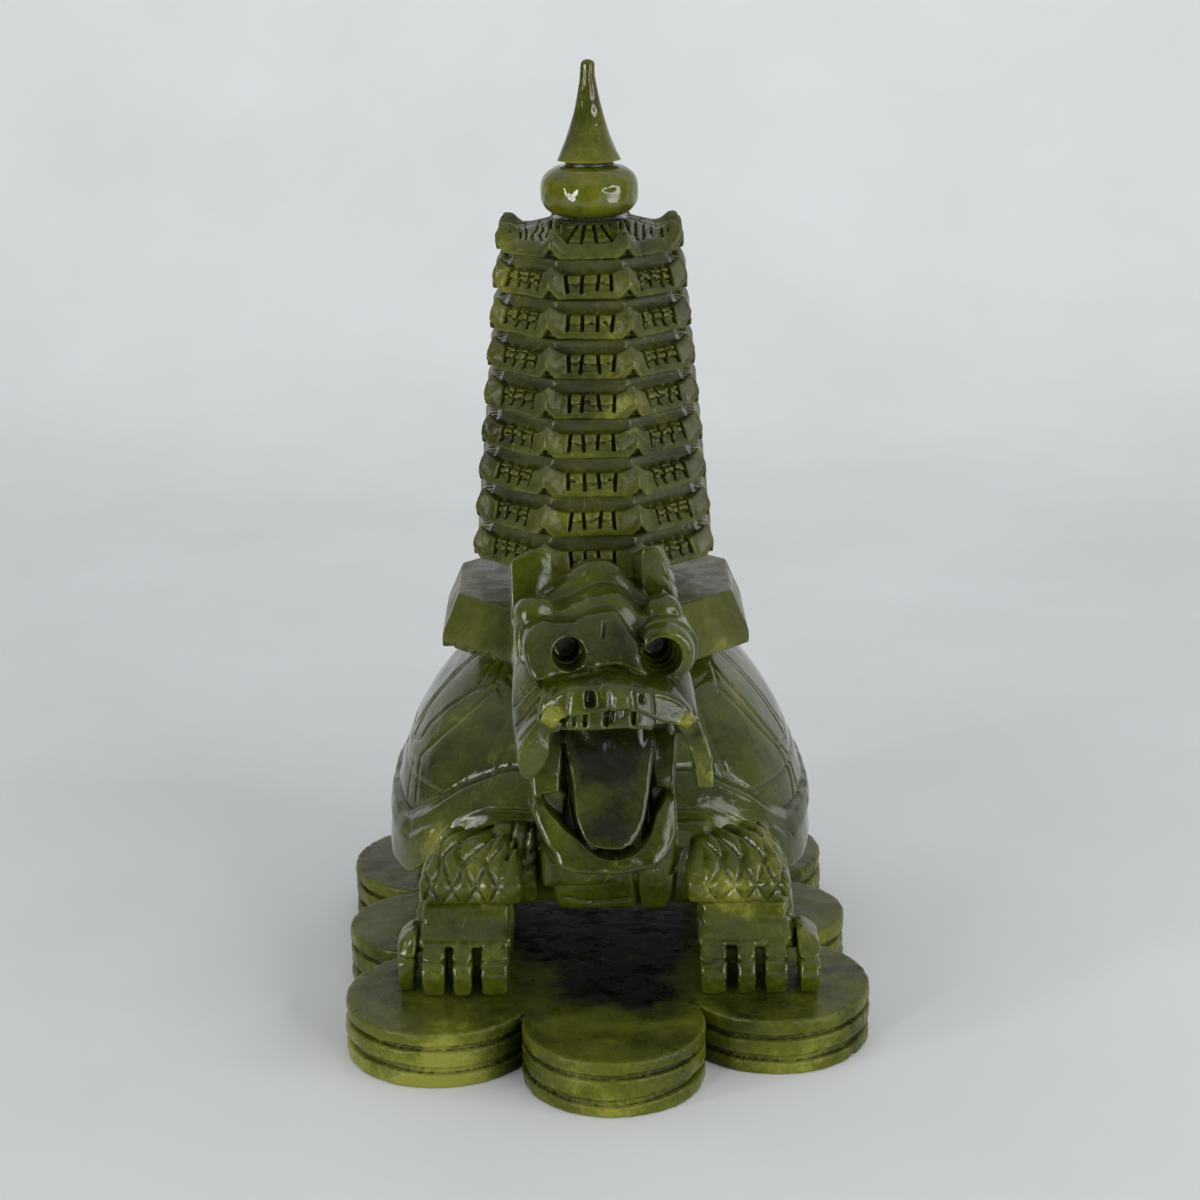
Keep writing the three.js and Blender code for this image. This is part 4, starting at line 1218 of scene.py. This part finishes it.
class Slab:
    """A piece cut to an outline seen from the front, with a leaning front face.

    The face is at y0 where z is z0 and x is 0, leans back by lean for each millimetre up
    and by tilt for each millimetre sideways. The piece runs back by depth, and its top
    falls by drop for each millimetre back. The middle of the face swells by bulge, and the
    face bends back toward its sides by bow."""

    def __init__(self, outline, face, depth, r=0.4, smooth=1, drop=0.0, bulge=0.0, bow=0.0):
        self.outline = rounded(np.array(outline, float), smooth)
        self.face, self.depth, self.r = face, depth, r
        self.drop, self.bulge, self.bow = drop, bulge, bow
        y0, z0, lean, tilt = face
        (x0, low), (x1, high) = self.outline.min(axis=0), self.outline.max(axis=0)
        fronts = [y0 + lean * (z - z0) + tilt * x for z in (low, high) for x in (x0, x1)]
        self.low = np.array([x0, min(fronts), low - abs(drop) * depth])
        most = max(fronts) + depth + self.bow * max(x0 * x0, x1 * x1)
        self.high = np.array([x1, most, high + abs(drop) * depth])

    def front(self, p):
        y0, z0, lean, tilt = self.face
        return y0 + lean * (p[:, 2] - z0) + tilt * p[:, 0] + self.bow * p[:, 0] ** 2

    def __call__(self, p):
        front = self.front(p)
        back = p[:, 1] - front
        q = np.stack([p[:, 0], p[:, 2] + self.drop * np.clip(back, 0, self.depth)], -1)
        best = np.full(len(q), 1e9)
        inside = np.zeros(len(q), bool)
        for a, b in zip(self.outline, np.roll(self.outline, -1, axis=0)):
            way = b - a
            t = np.clip(((q - a) @ way) / (way @ way), 0, 1)
            gap = q - a - t[:, None] * way
            best = np.minimum(best, (gap**2).sum(axis=1))
            over = (a[1] > q[:, 1]) != (b[1] > q[:, 1])
            if a[1] != b[1]:
                edge = a[0] + (q[:, 1] - a[1]) * way[0] / way[1]
                inside ^= over & (q[:, 0] < edge)
        flat = np.sqrt(best) * np.where(inside, -1, 1)
        lean = math.hypot(1, self.face[2])
        face = (front - p[:, 1]) / lean - self.bulge * np.clip(-flat / 4, 0, 1)
        return soft_max([flat, face, (back - self.depth) / lean], self.r)


def points_hull(points, r):
    return Hull([(x, x, y, y, z, z) for x, y, z in points], r)


# The head, in its own frame, which is turned on the neck. First come outlines of slabs seen from
# the front, x and z, then corners of hulls, then lists of (body, rounding)
CROWN = [
    (-11.3, 85.3), (-8.9, 86.2), (-6.7, 88.0), (-4.0, 90.2), (-2.2, 91.1), (-0.5, 91.6),
    (1.2, 91.5), (2.8, 91.1), (4.5, 90.1), (6.5, 88.1), (8.4, 85.6), (10.7, 84.2),
    (12, 78), (-12, 78),
]
FOLD = [
    (-11.4, 82.0), (-9.3, 82.9), (-7.0, 83.9), (-4.6, 84.7), (-2.2, 85.8), (-0.5, 86.3),
    (1.6, 86.5), (3.9, 86.0), (5.8, 84.3), (7.5, 82.1), (9.2, 81.4), (12, 81), (12, 74), (-12, 74),
]
MASK_OUTLINE = [
    (-16.6, 75.4), (-17.0, 78.2), (-16.6, 79.9), (-15.6, 81.5), (-13.9, 82.8), (-11.9, 83.3),
    (-9.9, 82.9), (-7.0, 82.7), (-5.3, 83.2), (-3.5, 83.8), (-1.4, 84.4), (0.6, 84.6),
    (2.2, 84.2), (3.3, 82.6), (4.3, 81.2), (5.3, 79.7), (6.2, 78.6), (6.8, 77.0), (6.9, 74.5),
    (8.0, 72.6), (6.4, 72.4), (3.7, 73.6), (2.3, 74.3), (-0.8, 74.6), (-3.5, 73.8),
    (-4.9, 74.2), (-6.6, 73.8), (-10.1, 73.2), (-12.7, 72.6), (-15.2, 72.4),
]
BROW = [
    (-17.9, 74.0), (-18.1, 78.0), (-17.6, 80.6), (-16.2, 82.6), (-14.4, 84.0), (-11.9, 84.4),
    (-9.5, 83.8), (-6.0, 83.6), (-6.0, 76), (-14, 72.5),
]
SNOUT_TOP = [
    (-14.6, 68.6), (-13.0, 70.2), (-9.8, 71.6), (-6.7, 72.0), (-2.7, 72.3), (1.5, 71.9),
    (5.8, 71.2), (8.6, 70.6), (11.4, 69.5), (14.0, 67.8), (16.2, 65.4),
]
LIP = [
    (16.8, 62.6), (13.2, 62.9), (8.7, 64.4), (7.0, 65.6), (4.5, 66.7), (0.8, 67.2),
    (-2.9, 67.1), (-6.6, 66.6), (-10.3, 65.8), (-14.6, 65.0),
]
ARM_LEFT = [
    (-17.2, 63.0), (-19.0, 59.6), (-19.3, 57.3), (-18.9, 55.2), (-18.0, 53.7), (-16.8, 53.3),
    (-15.9, 53.8), (-14.3, 55.8), (-12.5, 58.6), (-11.0, 62.0), (-9.6, 64.6), (-14.6, 66.5),
]
ARM_RIGHT = [
    (17.6, 63.6), (19.2, 59.0), (20.0, 55.7), (20.2, 52.1), (20.0, 49.7), (17.0, 49.9),
    (16.5, 54.1), (15.7, 57.1), (14.3, 60.1), (12.8, 63.3), (13.4, 65.0),
]
TONGUE_OUTLINE = [
    (-8.1, 60.5), (-8.7, 58.6), (-8.2, 53.9), (-7.5, 49.2), (-7.5, 44.9), (-7.1, 42.1),
    (-5.9, 39.2), (-3.4, 37.6), (2.6, 37.3), (5.7, 40.5), (6.6, 42.9), (7.7, 46.4),
    (8.4, 49.4), (9.2, 53.0), (9.9, 56.0), (9.9, 58.6), (9.3, 60.5),
]
JAW_OUTLINE = [
    (-15.3, 46.6), (-15.9, 44.4), (-15.8, 42.9), (-14.9, 40.8), (-13.6, 37.9), (-12.2, 36.4),
    (-11.9, 34.4), (-11.0, 33.1), (-7.3, 32.2), (-3.3, 31.8), (2.5, 31.8), (7.2, 32.1),
    (9.3, 33.0), (11.1, 34.7), (12.7, 36.9), (13.4, 39.2), (13.9, 43.6), (13.6, 46.6),
]
JAW_INSIDE = [
    (-15.6, 50), (-15.3, 46.2), (-13.1, 44.5), (-11.2, 42.6), (-9.9, 41.0), (-7.4, 39.2),
    (-5.7, 37.6), (-3.6, 35.8), (-0.2, 34.7), (3.1, 35.2), (4.4, 35.8), (6.1, 37.2),
    (7.9, 39.2), (9.2, 42.5), (10.4, 44.0), (12.3, 45.2), (13.0, 50),
]
TOOTH_BAND = [(-9.6, 62.9), (-6.5, 63.3), (1.5, 63.2), (5.8, 62.8), (8.4, 62.2), (9.0, 68), (-9.8, 68)]
MOUTH_SIDES = JAW_INSIDE[2:-2] + [(12.6, 47.2), (-14.2, 47.2)]
SNOUT_BACK = [(x * 1.02, z + 0.2) for x, z in SNOUT_TOP]
SNOUT_BACK += [(16.8, 60), (10, 60), (-10, 60), (-15.5, 60)]
HORN_LEFT = [
    (-18, -50, 82), (-18, -50, 91.5), (-13, -50, 94.6), (-8.8, -50, 93.5), (-8.6, -50, 82),
    (-17.6, -44, 66), (-17.8, -54, 74), (-16.5, -38, 89), (-12.5, -38, 91), (-9, -38, 90), (-9, -38, 70),
]
HORN_RIGHT = [
    (9.2, -50, 82), (9.2, -50, 92.3), (9.9, -50, 93.7), (12, -50, 94.3), (13.8, -50, 93.8),
    (14.0, -50, 82), (14.7, -44, 92.1), (16.2, -43, 89.6), (17.0, -43, 87.1), (17.8, -43, 84),
    (18.3, -46, 78.6), (17.4, -50, 76), (16.4, -38, 88), (12, -38, 90), (9, -38, 89), (9, -38, 70),
]
# The cheeks run back from the whiskers and down beside the mouth
CHEEK_LEFT = [
    (-19.1, -60, 67.4), (-19.1, -60, 56), (-16.2, -61, 74), (-15.4, -66, 73), (-13.6, -70.6, 70),
    (-14.6, -71.6, 65), (-18.6, -68, 57), (-12.4, -70, 62), (-11, -60, 62), (-11, -50, 74),
    (-17, -50, 74), (-18, -50, 58),
]
CHEEK_RIGHT = [
    (18.6, -60, 67.6), (18.8, -60, 56), (16.6, -61, 72), (12.6, -66, 71.6), (14.6, -70.6, 68.2),
    (17.6, -70.6, 63.8), (19.2, -66, 56), (13.0, -69, 62), (11, -60, 62), (11, -50, 72),
    (17, -50, 73), (18, -50, 58),
]
# The knuckles from which the whiskers hang
KNUCKLE_LEFT = [
    (-15.2, -73.6, 66.8), (-12.6, -73.8, 69.0), (-10.0, -74.6, 66.8), (-11.7, -74.4, 63.6),
    (-14.4, -73.2, 64.8), (-13.4, -76.0, 67.2), (-11.6, -76.2, 66.4), (-12.4, -75.9, 65.0),
    (-12.6, -68, 66),
]
KNUCKLE_RIGHT = [
    (12.8, -73.6, 63.6), (15.2, -73.4, 66.1), (17.4, -72.4, 63.9), (14.9, -73, 61.4),
    (14.2, -75.4, 64.2), (15.9, -75.0, 63.8), (15, -68, 64),
]
JAW_BACK = [
    (-15.9, -66, 45), (-15.2, -62, 50), (-16.4, -60, 60), (-17, -52, 62), (-15.8, -50, 40),
    (-11.5, -50, 26), (15.0, -62, 47), (14.6, -60, 50), (16.4, -58, 60), (17, -50, 62),
    (14.8, -50, 40), (11.5, -50, 26), (13.6, -66, 44), (-12, -66, 34), (12, -66, 34),
    (-9, -58, 26), (9, -58, 26), (-15, -44, 60), (15, -44, 60),
]
# The mouth narrows toward the throat
THROAT = [
    (-15.0, -77, 46), (-14.0, -77, 62.6), (13.0, -77, 62.6), (13.4, -77, 46),
    (-8.2, -60, 46), (-8.0, -59, 62.8), (9.2, -59, 62.8), (8.8, -60, 46),
]
NOSTRIL_LEFT = [
    (-6.4, -80, 72.6), (-3.0, -80, 72.8), (-2.7, -80, 67.5), (-6.6, -80, 67.7),
    (-5.7, -72, 71.4), (-3.8, -72, 71.4), (-3.7, -72.4, 68.2), (-5.8, -72.4, 68.2),
]
NOSTRIL_RIGHT = [
    (4.2, -80, 72.2), (6.9, -80, 71.8), (6.8, -80, 68.0), (4.3, -80, 67.7),
    (4.8, -73.2, 70.6), (6.2, -73.2, 70.2), (6, -73.4, 68.4), (4.9, -73.4, 68.4),
]
# The block between the nostrils
NOSE_BLOCK = [
    (-0.2, -75.2, 71.0), (3.3, -75.2, 71.0), (3.4, -75.6, 67.6), (-0.4, -75.6, 67.6),
    (1.5, -70, 71), (1.5, -70, 67.6), (0.4, -75.9, 70.4), (2.8, -75.9, 70.4),
    (2.9, -76.2, 68.2), (0.2, -76.2, 68.2),
]
TUBE_END = (11.6, -66.4, 75.2)
SKULL_BOXES = [
    (-15.5, 15.5, -39, -37, 52, 84), (-17.6, 17.4, -57, -44, 60, 81), (-16, 16, -60, -44, 58, 77),
]

SKULL = [
    (Hull(SKULL_BOXES, 0.5), 0.8),
    (Slab(CROWN, (-51, 88, 0.35, 0), 9, 1.0, 2, drop=0.22), 0.6),
    (Slab(FOLD, (-59.5, 84, 0.3, 0), 9, 0.8, 2, drop=-0.08), 0.5),
    (Slab(BROW, (-62.0, 78, 0.45, -0.06), 9, 0.7, 1), 0.3),
    # The round lumps over the eyes
    (Rod((12.7, -52, 80.4), (12.6, -60.2, 81.6), 4.7, 4.2, 1.5), 0.25),
    (Rod((-13.3, -52, 81.6), (-13.3, -60.4, 82.9), 4.8, 4.3, 1.5), 0.25),
    (points_hull(HORN_LEFT, 0.22), 0.3),
    (points_hull(HORN_RIGHT, 0.22), 0.3),
]
MASK = [
    (Slab(MASK_OUTLINE, (-69.5, 74.5, 0.58, 0), 8, 0.75, 1, bulge=0.2), 0.25),
    # The right eye's tube
    (Rod((12.4, -52, 75.3), (12.3, -62.6, 75.2), 6.9, 6.8, 0.3), 0.3),
    (Rod((12.2, -60, 75.2), TUBE_END, 6.7, 5.8, 0.6), 0.2),
]
SNOUT = [
    (Slab(SNOUT_TOP + LIP, (-75.4, 69, 0.2, 0), 12, 0.4, 1, drop=-0.27, bow=0.013), 0.3),
    (Slab(SNOUT_BACK, (-71.6, 69, 0.2, 0), 12, 0.4, 1, drop=-0.24, bow=0.013), 0.3),
    (points_hull(CHEEK_LEFT, 0.25), 0.3),
    (points_hull(CHEEK_RIGHT, 0.25), 0.3),
    (Slab(ARM_LEFT, (-71.6, 60, 0.12, 0.12), 8, 0.22, 0), 0.2),
    (Slab(ARM_RIGHT, (-71.6, 58, 0.12, -0.1), 7, 0.22, 0), 0.2),
    (points_hull(KNUCKLE_LEFT, 0.2), 0.12),
    (points_hull(KNUCKLE_RIGHT, 0.2), 0.12),
]
JAWS = [
    (Slab(JAW_OUTLINE, (-74.3, 33, 0.5, 0), 22, 0.8, 1, bulge=0.2), 0.4),
    (points_hull(JAW_BACK, 0.5), 0.4),
]
MOUTH = [
    (Slab(MOUTH_SIDES, (-84, 50, 0, 0), 20.5, 0.3, 1), 0.25),
    (points_hull(THROAT, 0.3), 0.3),
    (Hull([(-9.6, 9.6, -66, -64, 38, 42), (-8.2, 8.8, -62, -60, 44, 48)], 0.3), 0.3),
]
TEETH = [(Slab(TOOTH_BAND, (-74.3, 65, 0.16, 0), 4, 0.3, 1, bow=0.016), 0.12)]
TONGUE_AND_NOSE = [
    (Slab(TONGUE_OUTLINE, (-68.3, 49, 0.54, 0), 9.5, 0.3, 1), 0.15),
    (Hull([(-7.4, 8.6, -63, -55, 40, 61), (-6, 6, -70, -60, 36, 40)], 0.4), 0.2),
    (points_hull(NOSE_BLOCK, 0.12), 0.1),
]
NECK = [(Hull([(-13, 13, -52, -38, 20, 22), (-12, 12, -52, -28, 54, 56)], 0.6), 0.6)]
# Stepped drill holes: two steps on the left, four on the right
EYES = [
    (Rod((-7.9, -62.5, 76.7), (-7.9, -74, 78.0), 3.3, r=0.12), 0.3),
    (Rod((-7.9, -58.5, 76.3), (-7.9, -66, 77.1), 2.7, r=0.3), 0.15),
    (Rod((11.1, -63.2, 75.1), (11.1, -68.2, 75.2), 3.95, r=0.12), 0.3),
    (Rod((11.0, -61.2, 75.0), (11.0, -66, 75.1), 3.55, r=0.12), 0.12),
    (Rod((10.9, -59.2, 75.0), (10.9, -66, 75.1), 3.1, r=0.12), 0.12),
    (Rod((10.8, -56, 75.0), (10.8, -66, 75.1), 2.6, r=0.3), 0.12),
]
NOSTRILS = [(points_hull(NOSTRIL_LEFT, 0.3), 0.3), (points_hull(NOSTRIL_RIGHT, 0.3), 0.3)]
MASK_STEP = [
    (-12.4, -70.2, 72.4), (-5.2, -70.2, 73.4), (-0.8, -70.2, 74.2), (3.6, -70.2, 73.4),
    (7.0, -70.2, 72.0),
]
HEAD_LINES = [
    Blade((-0.3, -64.7, 82.7), (-0.9, -66.4, 79.7), 0.28, 0.7),
    # The crease that parts the mask from the right eye's tube
    Blade((2.8, -64.4, 83.6), (4.6, -65.6, 81.2), 0.4, 0.5),
    Blade((4.6, -65.6, 81.2), (6.9, -66.5, 78.6), 0.4, 0.7),
    Blade((6.9, -66.5, 78.6), (6.6, -67.4, 76.4), 0.35, 0.6),
    # Hair lines on the left cheek
    Blade((-14.2, -70, 69.4), (-18.2, -64, 61.6), 0.3, 0.5, 6),
    Blade((-15.0, -68, 71.4), (-18.4, -63, 65.4), 0.28, 0.4, 6),
    Blade((-13.6, -71, 66.4), (-17.6, -66, 59.4), 0.28, 0.4, 6),
    # Hair lines on the outer side of the right horn
    Blade((14.4, -48, 86.5), (17.4, -43.5, 83.0), 0.28, 0.4, 6),
    Blade((14.4, -48, 83.6), (17.8, -44, 79.6), 0.28, 0.4, 6),
    Blade((14.6, -48, 89.6), (16.8, -43.5, 86.6), 0.28, 0.4, 6),
    # Edges of the nose block and of the nostrils' wings
    Blade((-0.8, -75, 71.4), (-1.0, -75.4, 67.6), 0.25, 0.3),
    Blade((3.8, -75, 71.2), (4.0, -75.4, 67.6), 0.25, 0.3),
    Blade((7.6, -74.6, 70.6), (7.9, -75, 66.4), 0.3, 0.35),
    Blade((-8.6, -74.6, 71.4), (-9.4, -75, 66.2), 0.35, 0.3),
    # The step where the mask ends above the snout
    *chain(MASK_STEP, 0.5, 0.32),
    # A small pit below the left eye
    Blade((-11.6, -72.6, 71.6), (-12.0, -73, 70.8), 0.45, 0.6),
]
# Upper and lower end of each slot between the teeth, its width and its depth
TOOTH_SLOTS = [
    (-7.9, 66.8, -8.0, 64.8, 0.34, 1.0),
    (-5.6, 67.4, -5.8, 64.6, 0.38, 1.5),
    (-1.1, 67.6, -1.5, 64.6, 0.46, 1.7),
    (-0.1, 67.6, -0.5, 65.0, 0.34, 1.2),
    (4.2, 67.4, 4.0, 64.4, 0.38, 1.5),
    (1.7, 67.4, 1.6, 65.8, 0.22, 0.4),
]
TOOTH_GAPS = [
    Blade((a, -74, high), (b, -74.2, low), width, depth, 2.5)
    for a, high, b, low, width, depth in TOOTH_SLOTS
]
head_dents = Waves(81, 3.4, 9)
head_sway = Waves(82, 9)


def head_field(p):
    d = gather(p, SKULL + MASK + SNOUT + JAWS)
    d = carve(d, p, NOSTRILS)
    d = carve(d, p, MOUTH)
    teeth = gather(p, TEETH)
    for line in TOOTH_GAPS:
        teeth = line(teeth, p)
    d = join(d, teeth, 0.12)
    d = join(d, gather(p, TONGUE_AND_NOSE), 0.12)
    d = join(d, gather(p, NECK), 0.4)
    d = carve(d, p, EYES)
    for line in HEAD_LINES:
        d = line(d, p)
    return d + 0.03 * head_dents(p) + 0.05 * head_sway(p)


def make_head():
    points, quads = surface(head_field, (-22, -78, 19), (22, -26, 96), 0.3)
    piece = add_turtle_mesh("dragon_head", on_neck(points), quads)
    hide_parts("dragon_turtle")


def make_floor():
    """A pale sheet that lies flat in front and curves up into a wall behind and to the right."""
    spokes = 120
    curve, top = 0.4, 0.55
    rows = []
    for n in range(spokes):
        angle = 360 * n / spokes
        out = np.array([math.cos(math.radians(angle)), math.sin(math.radians(angle))])
        rise = min(max((angle - 2) / 16, 0), 1) * min(max((146 - angle) / 20, 0), 1)
        rise = rise * rise * (3 - 2 * rise)
        wall = 1 / (abs(out[0] / 0.85) ** 3 + abs(out[1] / 0.8) ** 3) ** (1 / 3)
        if out[1] < 0:
            wall = 0.85
        line = [(0.001, 0.0), (0.1, 0.0), (0.25, 0.0), (0.4, 0.0)]
        for a in np.linspace(0.0, math.pi / 2, 14):
            line.append((wall - curve + curve * math.sin(a), (curve - curve * math.cos(a)) * rise))
        line.append((wall + 0.005 + 0.3 * (1 - rise), top * rise))
        rows.append([(r * out[0], r * out[1], z) for r, z in line])
    points = np.array(rows)
    spokes, deep = points.shape[:2]
    i, j = np.meshgrid(np.arange(spokes), np.arange(deep - 1), indexing="ij")
    at = (i * deep + j).ravel()
    after = (((i + 1) % spokes) * deep + j).ravel()
    faces = np.stack([at, at + 1, after + 1, after], -1)
    mesh = bpy.data.meshes.new("floor")
    mesh.from_pydata(points.reshape(-1, 3).tolist(), [], faces.tolist())
    mesh.polygons.foreach_set("use_smooth", np.ones(len(faces), bool))
    floor = bpy.data.objects.new("floor", mesh)
    bpy.context.scene.collection.objects.link(floor)
    n = Nodes("pale_sheet")
    colour = n.ramp(n.noise(90, 3), [(0.3, (222, 224, 224)), (0.7, (228, 230, 231))])
    shader = n.add("ShaderNodeBsdfPrincipled", Roughness=0.9)
    shader.inputs["Specular IOR Level"].default_value = 0.1
    n.link(colour, shader.inputs["Base Color"])
    mesh.materials.append(n.finish(shader))


def add_light(name, width, height, radiance):
    """A rectangle of light, in metres, with the same brightness whatever its size."""
    data = bpy.data.lights.new(name, "AREA")
    data.shape = "RECTANGLE"
    data.size, data.size_y = width, height
    data.energy = radiance * math.pi * width * height
    light = bpy.data.objects.new(name, data)
    bpy.context.scene.collection.objects.link(light)
    return light


def add_wall_wash(place, aim):
    """A dim strip high up that lights the wall behind the figure."""
    light = add_light("wall_wash", 1.0, 0.25, 1.7)
    light.location = place
    light.rotation_euler = (Vector(aim) - Vector(place)).to_track_quat("-Z", "Y").to_euler()


def add_ring(name, azimuth, elevation, half_width, half_height, width, radiance, skip=()):
    """A ring of strips a metre away that face the figure and leave ring-shaped glints."""
    a, e = math.radians(azimuth), math.radians(elevation)
    away = Vector((math.sin(a) * math.cos(e), -math.cos(a) * math.cos(e), math.sin(e)))
    right = Vector((math.cos(a), math.sin(a), 0))
    up = away.cross(right)
    middle = Vector((0, 0, 0.1)) + away
    sides = 8
    corners = []
    for n in range(sides):
        t = 2 * math.pi * (n - 0.5) / sides
        corners.append(middle + right * half_width * math.cos(t) + up * half_height * math.sin(t))
    for n in range(sides):
        if n in skip:
            continue
        one, two = corners[n], corners[(n + 1) % sides]
        along = (two - one).normalized()
        light = add_light(f"{name}_{n}", width, (two - one).length, radiance)
        turn = Matrix((along.cross(away), along, away)).transposed()
        light.matrix_world = Matrix.Translation((one + two) / 2) @ turn.to_4x4()


def make_lights():
    world = bpy.data.worlds.new("studio")
    world.use_nodes = True
    tree = world.node_tree
    back = tree.nodes["Background"]
    # A soft sky: pale overhead and behind, dim on the lens's side
    place = tree.nodes.new("ShaderNodeTexCoord").outputs["Generated"]
    dot = tree.nodes.new("ShaderNodeVectorMath")
    dot.operation = "DOT_PRODUCT"
    tree.links.new(place, dot.inputs[0])
    dot.inputs[1].default_value = (0.1, 0.3, 0.95)
    spread = tree.nodes.new("ShaderNodeMapRange")
    spread.interpolation_type = "SMOOTHSTEP"
    tree.links.new(dot.outputs["Value"], spread.inputs["Value"])
    ends = {"From Min": -0.15, "From Max": 0.75, "To Min": 0.02, "To Max": 0.6}
    for end, value in ends.items():
        spread.inputs[end].default_value = value
    tree.links.new(spread.outputs["Result"], back.inputs["Strength"])
    back.inputs["Color"].default_value = (0.96, 0.985, 1.0, 1)
    bpy.context.scene.world = world
    add_wall_wash((0.1, 0.3, 0.8), (0.1, 0.8, 0.52))
    add_ring("ring_left", -50, 12, 0.26, 0.24, 0.034, 60, skip=(1, 2, 3))
    add_ring("ring_right", 47, 11, 0.44, 0.27, 0.03, 36)
    bpy.context.scene.view_settings.view_transform = "Standard"


make_plate()
make_plinth()
make_pagoda()
make_finial()
make_shell()
make_body()
make_head()
make_floor()
make_lights()
